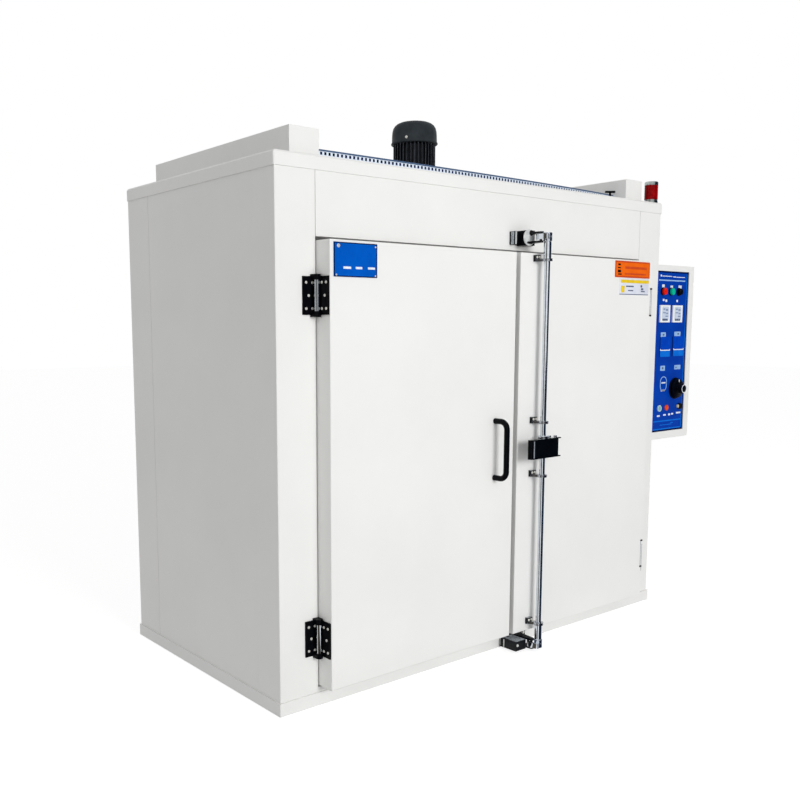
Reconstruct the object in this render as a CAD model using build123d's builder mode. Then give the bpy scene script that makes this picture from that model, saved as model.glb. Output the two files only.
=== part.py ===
import os
from math import cos, radians, sin

from build123d import *

# Industrial batch oven: insulated cabinet, two hinged doors, espagnolette lock,
# roof-mounted fan motor and a control box on the right side wall.
# Origin: centre of the cabinet's footprint on the floor. +Z up, -Y is the front.

# Cabinet
width = 2508
depth = 1250
height = 2200
wall = 100
cap_height = 57
cap_overhang = 5
cap_edge = 8
plinth_height = 55
plinth_overhang = 6
post_width = 187
post_depth = 160
post_corner = 4
rear_strip = 208
seam = 2
seam_bevel = 3
ceiling_thickness = 100

# Door opening and the seat that the door seals press on
sill_height = 21
header_height = 249
seat_width = 60
seat_setback = 60
floor_thickness = 100
lintel_drop = 79

# Chamber lining
duct_thickness = 20
duct_gap = 3
duct_slot_rows = 6
duct_slot_length = 380
duct_slot_height = 16
baffle_thickness = 20
baffle_slots = 12
baffle_slot_length = 110
baffle_slot_width = 14
baffle_slot_circle = 210

# Doors
door_proud = 88
door_inset = 50
door_side_gap = 4
door_bottom_gap = 9
door_top_gap = 16
meeting_centre = 14
meeting_gap = 28
door_edge = 4
seal_thickness = 9
seal_width = 20
seal_margin = 10
seal_lip = 8

# Hinges: the pin is fixed to the door leaf and turns in two caps on the frame leaf
hinge_height = 148
lower_hinge_lift = 207
upper_hinge_drop = 212
hinge_pin_radius = 12.5
hinge_cap_radius = 14.5
hinge_cap_height = 22
hinge_cap_end = 4
hinge_cap_beyond = 8
hinge_leaf = 6
hinge_leaf_width = 53
hinge_leaf_margin = 4
hinge_axis_proud = 25
hinge_side_clearance = 1
hinge_end_clearance = 0.3
running_clearance = 0.05

# Lock rod, its guides and the hooks at its two ends
rod_from_meeting = 136
rod_radius = 13.5
rod_standoff = 50
rod_sleeve_radius = 17.5
rod_hub_radius = 20
rod_hub_height = 38
top_hook_lift = 54
hook_height = 24
hook_inner = 41
hook_width = 13
hook_root_angle = 215
hook_arm_width = 16
hook_tip_angle = 110
guide_end_lift = 42
guide_end_drop = 33
guide_below_grip = 137
guide_above_grip = 116
guide_plate = 12
guide_ring = 10
guide_arm_side = 11
guide_foot_width = 34
guide_foot_height = 30
guide_foot_thickness = 15
guide_foot_offset = 21
sleeve_seat_gap = 0.3

# Keepers on the header and on the base frame
keeper_pin_radius = 6
keeper_pin_circle = 33
keeper_pin_angle = 150
keeper_ear = 9
keeper_ear_gap = 32
keeper_ear_radius = 12
keeper_plate = 8
keeper_plate_left = 104
keeper_plate_right = 50
top_plate_height = 60
top_body_left = 54
top_body_width = 50
top_body_depth = 65
top_body_height = 68
bottom_body_left = 130
bottom_body_width = 72
bottom_body_depth = 106
bottom_body_height = 45
keeper_rib_width = 12
keeper_rib_depth = 34

# Lock grip: a channel that opens towards the door, placed from the rod's axis
grip_height = 90
grip_centre_z = 983
grip_wall = 5
grip_reach = 44
grip_left = 131
grip_web_right = 56
grip_tail = 77
grip_tail_depth = 12
grip_flange_depth = 20
grip_nose = 15
grip_ear_radius = 22

# Pull handle on the left door: a round bar with mitred bends
handle_from_edge = 126
handle_spacing = 260
handle_centre_z = 990
handle_radius = 13
handle_standoff = 72
handle_bend = 34
handle_bend_steps = 3

# Blue plate on the left door
plate_side_margin = 17
plate_top_margin = 10
plate_width = 216
plate_height = 131
plate_thickness = 3

# Roof equipment
roof_box_inset = 106
roof_box_width = 141
roof_box_height = 110
roof_box_front = 53
roof_box_length = 1107
roof_box_edge = 5
trunking_front = 62
trunking_width = 30
trunking_height = 37
trunking_wall = 2
trunking_pitch = 40
trunking_slot_width = 14
trunking_slot_height = 20
trunking_end_gap = 3
motor_centre_y = -25
motor_flange_radius = 130
motor_flange_height = 12
motor_core_radius = 88
motor_fin_radius = 105.5
motor_fin_count = 24
motor_fin_width = 5
motor_body_height = 248
cowl_radius = 112
cowl_rim_radius = 116.5
cowl_rim_height = 9
cowl_height = 110
cowl_crown = 3
cowl_shoulder = 50
cowl_shoulder_steps = 3
terminal_width = 96
terminal_depth = 46
terminal_height = 84
terminal_lift = 60
lamp_side_inset = 40
lamp_setback = 38
lamp_radius = 35.5
lamp_base_height = 18
lamp_lens_height = 75
lamp_cap_height = 20
lamp_cap_edge = 5
damper_from_box = 43
damper_setback = 120
damper_stem_radius = 6
damper_stem_height = 40
damper_bar_radius = 7
damper_bar_length = 80

# Control box on the right side wall
box_width = 445
box_depth = 250
box_height = 978
box_setback = 50
box_top_drop = 14
box_edge = 14
box_border = 57
box_top_border = 32
box_bottom_border = 42
panel_recess = 8
panel_thickness = 3

# Controls, from the left and bottom edges of the control panel
controller_size = 96
controller_depth = 8
controller_places = (99, 224)
controller_z = 667
push_button_radius = 19.5
push_button_depth = 20
push_button_places = (78, 156, 234)
push_button_z = 791
pilot_radius = 16
pilot_depth = 8
pilot_places = (84, 157, 290)
pilot_z = 134
switch_x = 238
switch_z = 242
switch_plate_radius = 62
switch_plate_depth = 6
switch_bore_radius = 9
switch_drum_radius = 54
switch_drum_depth = 20
switch_grip_radius = 27
switch_reach = 60
switch_gap = 0.5

# Places worked out from the sizes above
front = -depth / 2
back = depth / 2
half = width / 2
opening_half = half - post_width
roof_under = height - cap_height
header_bottom = roof_under - header_height
floor_top = plinth_height + floor_thickness
sill_top = plinth_height + sill_height
seat_front = front + seat_setback
lintel_bottom = header_bottom - lintel_drop
door_front = front - door_proud
door_back = front + door_inset
door_side = opening_half - door_side_gap
door_bottom = sill_top + door_bottom_gap
door_top = header_bottom - door_top_gap
hinge_x = door_side + hinge_cap_radius + hinge_side_clearance
hinge_y = front - hinge_axis_proud
hinge_bottoms = (
    door_bottom + lower_hinge_lift - hinge_height / 2,
    door_top - upper_hinge_drop - hinge_height / 2,
)
rod_x = meeting_centre + rod_from_meeting
rod_y = door_front - rod_standoff
keeper_half = keeper_ear_gap / 2 + keeper_ear
top_hook_z = header_bottom + top_hook_lift
bottom_hook_z = plinth_height - keeper_half
guide_heights = (
    door_bottom + guide_end_lift,
    grip_centre_z - guide_below_grip,
    grip_centre_z + guide_above_grip,
    door_top - guide_end_drop,
)
roof_box_outer = half - roof_box_inset
roof_box_inner = roof_box_outer - roof_box_width
damper_x = roof_box_inner - damper_from_box
box_front = front + box_setback
box_top = header_bottom - box_top_drop
box_bottom = box_top - box_height
panel_left = half + box_border
panel_bottom = box_bottom + box_bottom_border
panel_face = box_front + panel_recess - panel_thickness


def save(piece, label):
    piece.part.label = label
    export_step(piece.part, f"parts/{label}.step")


def slab(x_range, y_range, z_range):
    x_low, x_high = sorted(x_range)
    y_low, y_high = sorted(y_range)
    z_low, z_high = sorted(z_range)
    with BuildPart() as piece:
        with BuildSketch(Plane.XY.offset(z_low)):
            with Locations(((x_low + x_high) / 2, (y_low + y_high) / 2)):
                Rectangle(x_high - x_low, y_high - y_low)
        extrude(amount=z_high - z_low)
    return piece


def quarter_points(centre, radius, start, steps):
    """Points a quarter turn apart from start to end, for a bend in straight steps."""
    turns = [radians(start + 90 * step / steps) for step in range(steps + 1)]
    return [(centre[0] + radius * cos(turn), centre[1] + radius * sin(turn)) for turn in turns]


def cabinet_shell():
    base = slab(
        (-half - plinth_overhang, half + plinth_overhang),
        (front - plinth_overhang, back + plinth_overhang),
        (0, plinth_height),
    )
    save(base, "base_frame")

    inner_width = width - 2 * wall
    inner_depth = depth - wall - post_depth
    inner_middle = (post_depth - wall) / 2
    with BuildPart() as floor:
        with BuildSketch(Plane.XY.offset(plinth_height)):
            with Locations((0, inner_middle)):
                Rectangle(inner_width, inner_depth)
            with Locations((0, (seat_front + front + post_depth) / 2)):
                Rectangle(2 * opening_half, post_depth - seat_setback)
        extrude(amount=floor_thickness)
    save(floor, "floor_panel")

    sill = slab((-opening_half, opening_half), (front, seat_front), (plinth_height, sill_top))
    save(sill, "door_sill")

    header = slab(
        (-opening_half + seam, opening_half - seam),
        (front, front + post_depth),
        (header_bottom, roof_under),
    )
    save(header, "header")

    lintel = slab(
        (-opening_half, opening_half),
        (seat_front, front + post_depth),
        (lintel_bottom, header_bottom),
    )
    save(lintel, "door_lintel")

    back_wall = slab((-half + wall, half - wall), (back - wall, back), (plinth_height, roof_under))
    save(back_wall, "back_wall")

    with BuildPart() as roof:
        with BuildSketch(Plane.XY.offset(roof_under)):
            Rectangle(width + 2 * cap_overhang, depth + 2 * cap_overhang)
        extrude(amount=cap_height)
        fillet(roof.edges().filter_by(Axis.Z), cap_edge)
        chamfer(roof.faces().sort_by(Axis.Z)[-1].edges(), cap_edge)
    save(roof, "roof")

    with BuildPart() as ceiling:
        with BuildSketch(Plane.XY.offset(roof_under)):
            with Locations((0, inner_middle)):
                Rectangle(inner_width, inner_depth)
        extrude(amount=-ceiling_thickness)
    save(ceiling, "ceiling_panel")


def cabinet_side(side, sign):
    with BuildPart() as post:
        with BuildSketch(Plane.XY.offset(plinth_height)):
            with Locations((sign * (opening_half + half) / 2, front + post_depth / 2)):
                Rectangle(post_width, post_depth)
        extrude(amount=roof_under - plinth_height)
        front_edges = post.edges().filter_by(Axis.Z).group_by(Axis.Y)[0].sort_by(Axis.X)
        fillet(front_edges[-1] if sign > 0 else front_edges[0], post_corner)
    save(post, f"{side}_post")

    jamb = slab(
        (sign * (opening_half - seat_width), sign * opening_half),
        (seat_front, front + post_depth),
        (floor_top, lintel_bottom),
    )
    save(jamb, f"{side}_jamb")

    wall_end = back - rear_strip
    with BuildPart() as side_wall:
        with BuildSketch(Plane.XY.offset(plinth_height)):
            with BuildLine():
                Polyline(
                    (sign * half, front + post_depth),
                    (sign * half, wall_end - seam_bevel),
                    (sign * (half - seam_bevel), wall_end),
                    (sign * (half - wall), wall_end),
                    (sign * (half - wall), front + post_depth),
                    close=True,
                )
            make_face()
        extrude(amount=roof_under - plinth_height)
    save(side_wall, f"{side}_wall")

    with BuildPart() as strip:
        with BuildSketch(Plane.XY.offset(plinth_height)):
            with BuildLine():
                Polyline(
                    (sign * half, back),
                    (sign * half, wall_end + seam_bevel),
                    (sign * (half - seam_bevel), wall_end),
                    (sign * (half - wall), wall_end),
                    (sign * (half - wall), back),
                    close=True,
                )
            make_face()
        extrude(amount=roof_under - plinth_height)
    save(strip, f"{side}_rear_corner")


def air_duct(side, sign):
    """A slotted sheet in front of the side plenum: hot air crosses the chamber."""
    inner = opening_half - seat_width + duct_gap
    rear = back - wall
    fore = front + post_depth
    run = lintel_bottom - floor_top
    with BuildPart() as duct:
        with BuildSketch(Plane.YZ.offset(sign * inner)):
            with Locations(((fore + rear) / 2, (floor_top + lintel_bottom) / 2)):
                Rectangle(rear - fore, run)
                with GridLocations((rear - fore) / 2, run / duct_slot_rows, 2, duct_slot_rows):
                    Rectangle(duct_slot_length, duct_slot_height, mode=Mode.SUBTRACT)
        extrude(amount=sign * duct_thickness)
    save(duct, f"{side}_air_duct")


def ceiling_baffle():
    fore = front + post_depth
    rear = back - wall
    reach = opening_half - seat_width + duct_gap + duct_thickness
    with BuildPart() as baffle:
        with BuildSketch(Plane.XY.offset(lintel_bottom)):
            with Locations((0, (fore + rear) / 2)):
                Rectangle(2 * reach, rear - fore)
            with PolarLocations(baffle_slot_circle / 2, baffle_slots):
                Rectangle(baffle_slot_length, baffle_slot_width, mode=Mode.SUBTRACT)
        extrude(amount=baffle_thickness)
    save(baffle, "ceiling_baffle")


def door(side, sign):
    inner_edge = meeting_centre + sign * meeting_gap / 2
    outer_edge = sign * door_side
    with BuildPart() as leaf:
        with BuildSketch(Plane.XY.offset(door_bottom)):
            with Locations(((inner_edge + outer_edge) / 2, (door_front + door_back) / 2)):
                Rectangle(abs(outer_edge - inner_edge), door_back - door_front)
        extrude(amount=door_top - door_bottom)
        fillet(leaf.faces().sort_by(Axis.Y)[0].edges(), door_edge)
    save(leaf, f"{side}_door_leaf")

    lip_edge = inner_edge - sign * seal_lip
    ring_outer = outer_edge - sign * seal_margin
    ring_width = abs(ring_outer - lip_edge)
    ring_height = door_top - door_bottom - 2 * seal_margin
    with BuildPart() as seal:
        with BuildSketch(Plane.XZ.offset(-door_back)):
            with Locations(((lip_edge + ring_outer) / 2, (door_bottom + door_top) / 2)):
                Rectangle(ring_width, ring_height)
                Rectangle(ring_width - 2 * seal_width, ring_height - 2 * seal_width, mode=Mode.SUBTRACT)
        extrude(amount=-seal_thickness)
    save(seal, f"{side}_door_seal")


def hinge_pair(side, sign):
    """Two hinges: capped frame leaves on the post, door leaves and their pins on the door."""
    axis = (sign * hinge_x, hinge_y)
    sweep_radius = hinge_cap_radius + hinge_side_clearance
    outer_side = axis[0] + sign * hinge_cap_radius
    inner_side = outer_side - sign * 2 * hinge_cap_radius
    cap_lows = (-hinge_cap_beyond, hinge_height + hinge_cap_beyond - hinge_cap_height)
    bore_lows = (cap_lows[0] + hinge_cap_end, cap_lows[1])

    with BuildPart() as frame_leaves:
        for bottom in hinge_bottoms:
            with BuildSketch(Plane.XY.offset(bottom)):
                with Locations((axis[0] + sign * hinge_leaf_width / 2, front - hinge_leaf / 2)):
                    Rectangle(hinge_leaf_width, hinge_leaf)
            extrude(amount=hinge_height)
            for cap_low, bore_low in zip(cap_lows, bore_lows):
                with BuildSketch(Plane.XY.offset(bottom + cap_low)):
                    with Locations(axis):
                        Circle(hinge_cap_radius)
                    with Locations(((outer_side + inner_side) / 2, (hinge_y + front) / 2)):
                        Rectangle(2 * hinge_cap_radius, front - hinge_y)
                extrude(amount=hinge_cap_height)
                with BuildSketch(Plane.XY.offset(bottom + bore_low)):
                    with Locations(axis):
                        Circle(hinge_pin_radius + running_clearance)
                extrude(amount=hinge_cap_height - hinge_cap_end, mode=Mode.SUBTRACT)
    save(frame_leaves, f"{side}_hinge_frame_leaves")

    leaf_front = door_front + hinge_leaf_margin
    with BuildPart() as door_leaves:
        for bottom in hinge_bottoms:
            with BuildSketch(Plane.XY.offset(bottom)):
                with Locations((sign * (door_side + hinge_leaf / 2), (leaf_front + hinge_y) / 2)):
                    Rectangle(hinge_leaf, hinge_y - leaf_front)
            extrude(amount=hinge_height)
            for cap_low in cap_lows:
                with BuildSketch(Plane.XY.offset(bottom + cap_low - hinge_end_clearance)):
                    with Locations(axis):
                        Circle(sweep_radius)
                extrude(amount=hinge_cap_height + 2 * hinge_end_clearance, mode=Mode.SUBTRACT)
            with BuildSketch(Plane.XY.offset(bottom)):
                with Locations(axis):
                    Circle(hinge_pin_radius)
            extrude(amount=hinge_height, mode=Mode.SUBTRACT)
    save(door_leaves, f"{side}_hinge_door_leaves")

    pin_end = bore_lows[0] + hinge_end_clearance
    with BuildPart() as pins:
        for bottom in hinge_bottoms:
            with BuildSketch(Plane.XY.offset(bottom + pin_end)):
                with Locations(axis):
                    Circle(hinge_pin_radius)
            extrude(amount=hinge_height - 2 * pin_end)
    save(pins, f"{side}_hinge_pins")


def polar(radius, angle):
    """A point about the lock rod's axis."""
    return (rod_x + radius * cos(radians(angle)), rod_y + radius * sin(radians(angle)))


def lock_rod():
    hub_half = rod_hub_height / 2
    with BuildPart() as rod:
        with BuildSketch(Plane.XY.offset(bottom_hook_z - hub_half)):
            with Locations((rod_x, rod_y)):
                Circle(rod_radius)
        extrude(amount=top_hook_z - bottom_hook_z + rod_hub_height)
        lower_seat = guide_heights[0] - guide_plate / 2 - sleeve_seat_gap
        upper_seat = guide_heights[-1] + guide_plate / 2 + sleeve_seat_gap
        sleeves = ((bottom_hook_z + hub_half, lower_seat), (upper_seat, top_hook_z - hub_half))
        for low, high in sleeves:
            with BuildSketch(Plane.XY.offset(low)):
                with Locations((rod_x, rod_y)):
                    Circle(rod_sleeve_radius)
            extrude(amount=high - low)
    save(rod, "lock_rod")

    middle = hook_inner + hook_width / 2
    mid_angle = (hook_root_angle + hook_tip_angle) / 2
    for label, centre in (("top_hook", top_hook_z), ("bottom_hook", bottom_hook_z)):
        with BuildPart() as hook:
            with BuildSketch(Plane.XY.offset(centre - hook_height / 2)):
                with BuildLine():
                    ThreePointArc(
                        polar(middle, hook_root_angle),
                        polar(middle, mid_angle),
                        polar(middle, hook_tip_angle),
                    )
                trace(line_width=hook_width)
                with Locations(polar(middle, hook_root_angle), polar(middle, hook_tip_angle)):
                    Circle(hook_width / 2)
                with BuildLine():
                    Line((rod_x, rod_y), polar(middle, hook_root_angle))
                trace(line_width=hook_arm_width)
            extrude(amount=hook_height)
            with BuildSketch(Plane.XY.offset(centre - hub_half)):
                with Locations((rod_x, rod_y)):
                    Circle(rod_hub_radius)
            extrude(amount=rod_hub_height)
            with BuildSketch(Plane.XY.offset(centre - hub_half)):
                with Locations((rod_x, rod_y)):
                    Circle(rod_radius)
            extrude(amount=rod_hub_height, mode=Mode.SUBTRACT)
        save(hook, label)


def keeper(label, centre, face, plate_height, body):
    """Base plate, cast body, two ears and the upright pin that a hook closes round."""
    pin_x, pin_y = polar(keeper_pin_circle, keeper_pin_angle)
    plate_left = rod_x - keeper_plate_left
    plate_right = rod_x + keeper_plate_right
    ear_width = 2 * keeper_ear_radius
    body_left, body_width, body_depth, body_height = body
    with BuildPart() as bracket:
        with BuildSketch(Plane.XY.offset(centre - body_height / 2)):
            with Locations((rod_x - body_left + body_width / 2, face - body_depth / 2)):
                Rectangle(body_width, body_depth)
        extrude(amount=body_height)
        with BuildSketch(Plane.XY.offset(centre - plate_height / 2)):
            with Locations(((plate_left + plate_right) / 2, face - keeper_plate / 2)):
                Rectangle(plate_right - plate_left, keeper_plate)
            with Locations((plate_left + keeper_rib_width / 2, face - keeper_rib_depth / 2)):
                Rectangle(keeper_rib_width, keeper_rib_depth)
        extrude(amount=plate_height)
        for low in (centre - keeper_half, centre + keeper_ear_gap / 2):
            with BuildSketch(Plane.XY.offset(low)):
                with BuildLine():
                    Polyline(
                        (pin_x - ear_width, face),
                        (pin_x - keeper_ear_radius, pin_y),
                        (pin_x + keeper_ear_radius, pin_y),
                        (pin_x + ear_width, face),
                        close=True,
                    )
                make_face()
                with Locations((pin_x, pin_y)):
                    Circle(keeper_ear_radius)
            extrude(amount=keeper_ear)
        with BuildSketch(Plane.XY.offset(centre - keeper_ear_gap / 2)):
            with Locations((pin_x, pin_y)):
                Circle(keeper_pin_radius)
        extrude(amount=keeper_ear_gap)
    save(bracket, label)


def rod_guides():
    """Brackets on the right door: a foot, a tapered arm and a ring round the rod."""
    foot_x = rod_x - guide_foot_offset
    foot_half = guide_foot_width / 2
    with BuildPart() as guides:
        for centre in guide_heights:
            with BuildSketch(Plane.XY.offset(centre - guide_plate / 2)):
                with Locations((foot_x, door_front - guide_foot_thickness / 2)):
                    Rectangle(guide_foot_width, guide_foot_thickness)
            extrude(amount=guide_foot_height)
            with BuildSketch(Plane.XY.offset(centre - guide_plate / 2)):
                with BuildLine():
                    Polyline(
                        (foot_x - foot_half, door_front),
                        (rod_x - guide_arm_side, rod_y),
                        (rod_x + guide_arm_side, rod_y),
                        (foot_x + foot_half, door_front),
                        close=True,
                    )
                make_face()
                with Locations((rod_x, rod_y)):
                    Circle(rod_radius + guide_ring)
                    Circle(rod_radius + running_clearance, mode=Mode.SUBTRACT)
            extrude(amount=guide_plate)
    save(guides, "rod_guides")


def lock_grip():
    """A bent channel: front web, round nose and two flanges that hold the rod."""
    web_y = rod_y - grip_reach
    bottom = grip_centre_z - grip_height / 2
    flange_back = web_y + grip_flange_depth
    tail_back = web_y + grip_tail_depth
    left = rod_x - grip_left
    nose_x = left + grip_nose
    tail = rod_x + grip_tail
    with BuildPart() as grip:
        with BuildSketch(Plane.XY.offset(bottom)):
            with BuildLine():
                Line((rod_x + grip_web_right, web_y), (nose_x, web_y))
                RadiusArc((nose_x, web_y), (left, web_y + grip_nose), grip_nose)
                Line((left, web_y + grip_nose), (left, flange_back))
            trace(line_width=grip_wall)
        extrude(amount=grip_height)
        for low in (bottom, bottom + grip_height - grip_wall):
            with BuildSketch(Plane.XY.offset(low)):
                with BuildLine():
                    Line((tail, web_y), (nose_x, web_y))
                    RadiusArc((nose_x, web_y), (left, web_y + grip_nose), grip_nose)
                    Polyline(
                        (left, web_y + grip_nose),
                        (left, flange_back),
                        (rod_x - grip_ear_radius, flange_back),
                        (rod_x - grip_ear_radius, rod_y),
                        (rod_x + grip_ear_radius, rod_y),
                        (rod_x + grip_ear_radius, tail_back),
                        (tail, tail_back),
                        (tail, web_y),
                    )
                make_face()
                with Locations((rod_x, rod_y)):
                    Circle(grip_ear_radius)
                    Circle(rod_radius, mode=Mode.SUBTRACT)
            extrude(amount=grip_wall)
    save(grip, "lock_grip")


def pull_handle():
    handle_x = meeting_centre - meeting_gap / 2 - handle_from_edge
    top = handle_centre_z + handle_spacing / 2
    bottom = handle_centre_z - handle_spacing / 2
    bend_y = door_front - handle_standoff + handle_bend
    lower_bend = quarter_points((bend_y, bottom + handle_bend), handle_bend, 180, handle_bend_steps)
    upper_bend = quarter_points((bend_y, top - handle_bend), handle_bend, 90, handle_bend_steps)
    route = [(door_front, top), *upper_bend, *lower_bend, (door_front, bottom)]
    with BuildPart() as handle:
        with BuildLine() as path:
            Polyline(*[(handle_x, y_place, z_place) for y_place, z_place in route])
        with BuildSketch(Plane(origin=path.line @ 0, z_dir=path.line % 0)):
            Circle(handle_radius)
        sweep(transition=Transition.RIGHT)
    save(handle, "pull_handle")


def roof_boxes(side, sign):
    fore = front + roof_box_front
    middle = sign * (roof_box_outer + roof_box_inner) / 2
    with BuildPart() as duct_box:
        with BuildSketch(Plane.XY.offset(height)):
            with Locations((middle, fore + roof_box_length / 2)):
                Rectangle(roof_box_width, roof_box_length)
        extrude(amount=roof_box_height)
        top_edges = duct_box.edges().filter_by(Axis.Y).group_by(Axis.Z)[-1].sort_by(Axis.X)
        fillet(top_edges[0] if sign > 0 else top_edges[-1], roof_box_edge)
    save(duct_box, f"{side}_roof_box")


def roof_trunking():
    """Slotted cable trunking across the front of the roof."""
    reach = 2 * (roof_box_inner - trunking_end_gap)
    middle = front + trunking_front + trunking_width / 2
    slots = int(reach / trunking_pitch)
    with BuildPart() as trunking:
        with BuildSketch(Plane.YZ.offset(-reach / 2)):
            with Locations((middle, height + trunking_height / 2)):
                Rectangle(trunking_width, trunking_height)
                Rectangle(
                    trunking_width - 2 * trunking_wall,
                    trunking_height - 2 * trunking_wall,
                    mode=Mode.SUBTRACT,
                )
        extrude(amount=reach)
        with BuildSketch(Plane.XZ.offset(-(front + trunking_front))):
            with Locations((0, height + trunking_height / 2)):
                with GridLocations(trunking_pitch, 0, slots, 1):
                    Rectangle(trunking_slot_width, trunking_slot_height)
        extrude(amount=-trunking_wall, mode=Mode.SUBTRACT)
    save(trunking, "roof_trunking")


def fan_motor():
    with BuildPart() as motor:
        with BuildSketch(Plane.XY.offset(height)):
            with Locations((0, motor_centre_y)):
                Circle(motor_flange_radius)
        extrude(amount=motor_flange_height)
        with BuildSketch(Plane.XY.offset(height)):
            with Locations((0, motor_centre_y)):
                Circle(motor_core_radius)
                with PolarLocations(0, motor_fin_count):
                    Rectangle(motor_fin_radius, motor_fin_width, align=(Align.MIN, Align.CENTER))
        extrude(amount=motor_body_height)
    save(motor, "fan_motor")

    rim_z = height + motor_body_height
    cowl_top = rim_z + cowl_height
    shoulder = quarter_points(
        (cowl_radius - cowl_shoulder, cowl_top - cowl_crown - cowl_shoulder),
        cowl_shoulder,
        0,
        cowl_shoulder_steps,
    )
    with BuildPart() as cowl:
        with BuildSketch(Plane.XZ.offset(-motor_centre_y)):
            with BuildLine():
                Polyline(
                    (0, rim_z),
                    (cowl_rim_radius, rim_z),
                    (cowl_radius, rim_z + cowl_rim_height),
                    *shoulder,
                    (0, cowl_top),
                    close=True,
                )
            make_face()
        revolve(axis=Axis((0, motor_centre_y, 0), (0, 0, 1)))
    save(cowl, "fan_cowl")

    terminal_front = motor_centre_y + motor_fin_radius
    terminal = slab(
        (-terminal_width / 2, terminal_width / 2),
        (terminal_front, terminal_front + terminal_depth),
        (height + terminal_lift, height + terminal_lift + terminal_height),
    )
    save(terminal, "motor_terminal_box")


def signal_lamp():
    place = (half - lamp_side_inset, front + lamp_setback)
    lens_low = height + lamp_base_height
    cap_low = lens_low + lamp_lens_height
    levels = (
        ("lamp_base", height, lamp_base_height),
        ("lamp_lens", lens_low, lamp_lens_height),
        ("lamp_cap", cap_low, lamp_cap_height),
    )
    for label, low, tall in levels:
        with BuildPart() as ring:
            with BuildSketch(Plane.XY.offset(low)):
                with Locations(place):
                    Circle(lamp_radius)
            extrude(amount=tall)
            if label == "lamp_cap":
                chamfer(ring.faces().sort_by(Axis.Z)[-1].edges(), lamp_cap_edge)
        save(ring, label)


def damper_handle():
    bar_z = height + damper_stem_height + damper_bar_radius
    with BuildPart() as damper:
        with BuildSketch(Plane.XY.offset(height)):
            with Locations((damper_x, front + damper_setback)):
                Circle(damper_stem_radius)
        extrude(amount=damper_stem_height + damper_bar_radius)
        with BuildSketch(Plane.YZ.offset(damper_x - damper_bar_length / 2)):
            with Locations((front + damper_setback, bar_z)):
                Circle(damper_bar_radius)
        extrude(amount=damper_bar_length)
    save(damper, "damper_handle")


def control_box():
    middle = half + box_width / 2
    recess_high = box_top - box_top_border
    with BuildPart() as box:
        with BuildSketch(Plane.XY.offset(box_bottom)):
            with Locations((middle, box_front + box_depth / 2)):
                Rectangle(box_width, box_depth)
        extrude(amount=box_height)
        fillet(box.faces().sort_by(Axis.X)[-1].edges(), box_edge)
        with BuildSketch(Plane.XZ.offset(-box_front)):
            with Locations((middle, (panel_bottom + recess_high) / 2)):
                Rectangle(box_width - 2 * box_border, recess_high - panel_bottom)
        extrude(amount=-panel_recess, mode=Mode.SUBTRACT)
    save(box, "control_box")

    panel = slab(
        (panel_left, half + box_width - box_border),
        (panel_face, panel_face + panel_thickness),
        (panel_bottom, recess_high),
    )
    save(panel, "control_panel")


def panel_rounds(label, places, z_place, radius, deep):
    with BuildPart() as rounds:
        with BuildSketch(Plane.XZ.offset(-panel_face)):
            with Locations(*[(panel_left + place, panel_bottom + z_place) for place in places]):
                Circle(radius)
        extrude(amount=deep)
    save(rounds, label)


def panel_controls():
    with BuildPart() as controllers:
        with BuildSketch(Plane.XZ.offset(-panel_face)):
            for place in controller_places:
                with Locations((panel_left + place, panel_bottom + controller_z)):
                    Rectangle(controller_size, controller_size)
        extrude(amount=controller_depth)
    save(controllers, "temperature_controllers")

    for label, place in zip(("red_button", "green_button", "black_button"), push_button_places):
        panel_rounds(label, (place,), push_button_z, push_button_radius, push_button_depth)
    panel_rounds("pilot_buttons", pilot_places, pilot_z, pilot_radius, pilot_depth)


def main_switch():
    """Round plate with a bore, and a drum and grip that turn on a shaft in it."""
    centre = (panel_left + switch_x, panel_bottom + switch_z)
    plate_face = panel_face - switch_plate_depth
    with BuildPart() as plate:
        with BuildSketch(Plane.XZ.offset(-panel_face)):
            with Locations(centre):
                Circle(switch_plate_radius)
                Circle(switch_bore_radius, mode=Mode.SUBTRACT)
        extrude(amount=switch_plate_depth)
    save(plate, "main_switch_plate")

    drum_base = plate_face - switch_gap
    with BuildPart() as knob:
        with BuildSketch(Plane.XZ.offset(-(panel_face - switch_gap))):
            with Locations(centre):
                Circle(switch_bore_radius - running_clearance)
        extrude(amount=switch_plate_depth)
        with BuildSketch(Plane.XZ.offset(-drum_base)):
            with Locations(centre):
                Circle(switch_drum_radius)
        extrude(amount=switch_drum_depth)
        with BuildSketch(Plane.XZ.offset(-drum_base)):
            with Locations(centre):
                Circle(switch_grip_radius)
        extrude(amount=switch_reach - switch_plate_depth - switch_gap)
    save(knob, "main_switch_knob")


def name_plate():
    plate_left = -door_side + plate_side_margin
    plate_top = door_top - plate_top_margin
    plate = slab(
        (plate_left, plate_left + plate_width),
        (door_front - plate_thickness, door_front),
        (plate_top - plate_height, plate_top),
    )
    save(plate, "blank_plate")


os.makedirs("parts", exist_ok=True)
cabinet_shell()
for side_name, side_sign in (("left", -1), ("right", 1)):
    cabinet_side(side_name, side_sign)
    air_duct(side_name, side_sign)
    door(side_name, side_sign)
    hinge_pair(side_name, side_sign)
    roof_boxes(side_name, side_sign)
ceiling_baffle()
lock_rod()
keeper(
    "top_keeper",
    top_hook_z,
    front,
    top_plate_height,
    (top_body_left, top_body_width, top_body_depth, top_body_height),
)
keeper(
    "bottom_keeper",
    bottom_hook_z,
    front - plinth_overhang,
    2 * keeper_half,
    (bottom_body_left, bottom_body_width, bottom_body_depth, bottom_body_height),
)
rod_guides()
lock_grip()
pull_handle()
name_plate()
roof_trunking()
fan_motor()
signal_lamp()
damper_handle()
control_box()
panel_controls()
main_switch()
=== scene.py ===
from math import cos, pi, radians, sin, tau

import bmesh
import bpy
from mathutils import Matrix, Vector


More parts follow.
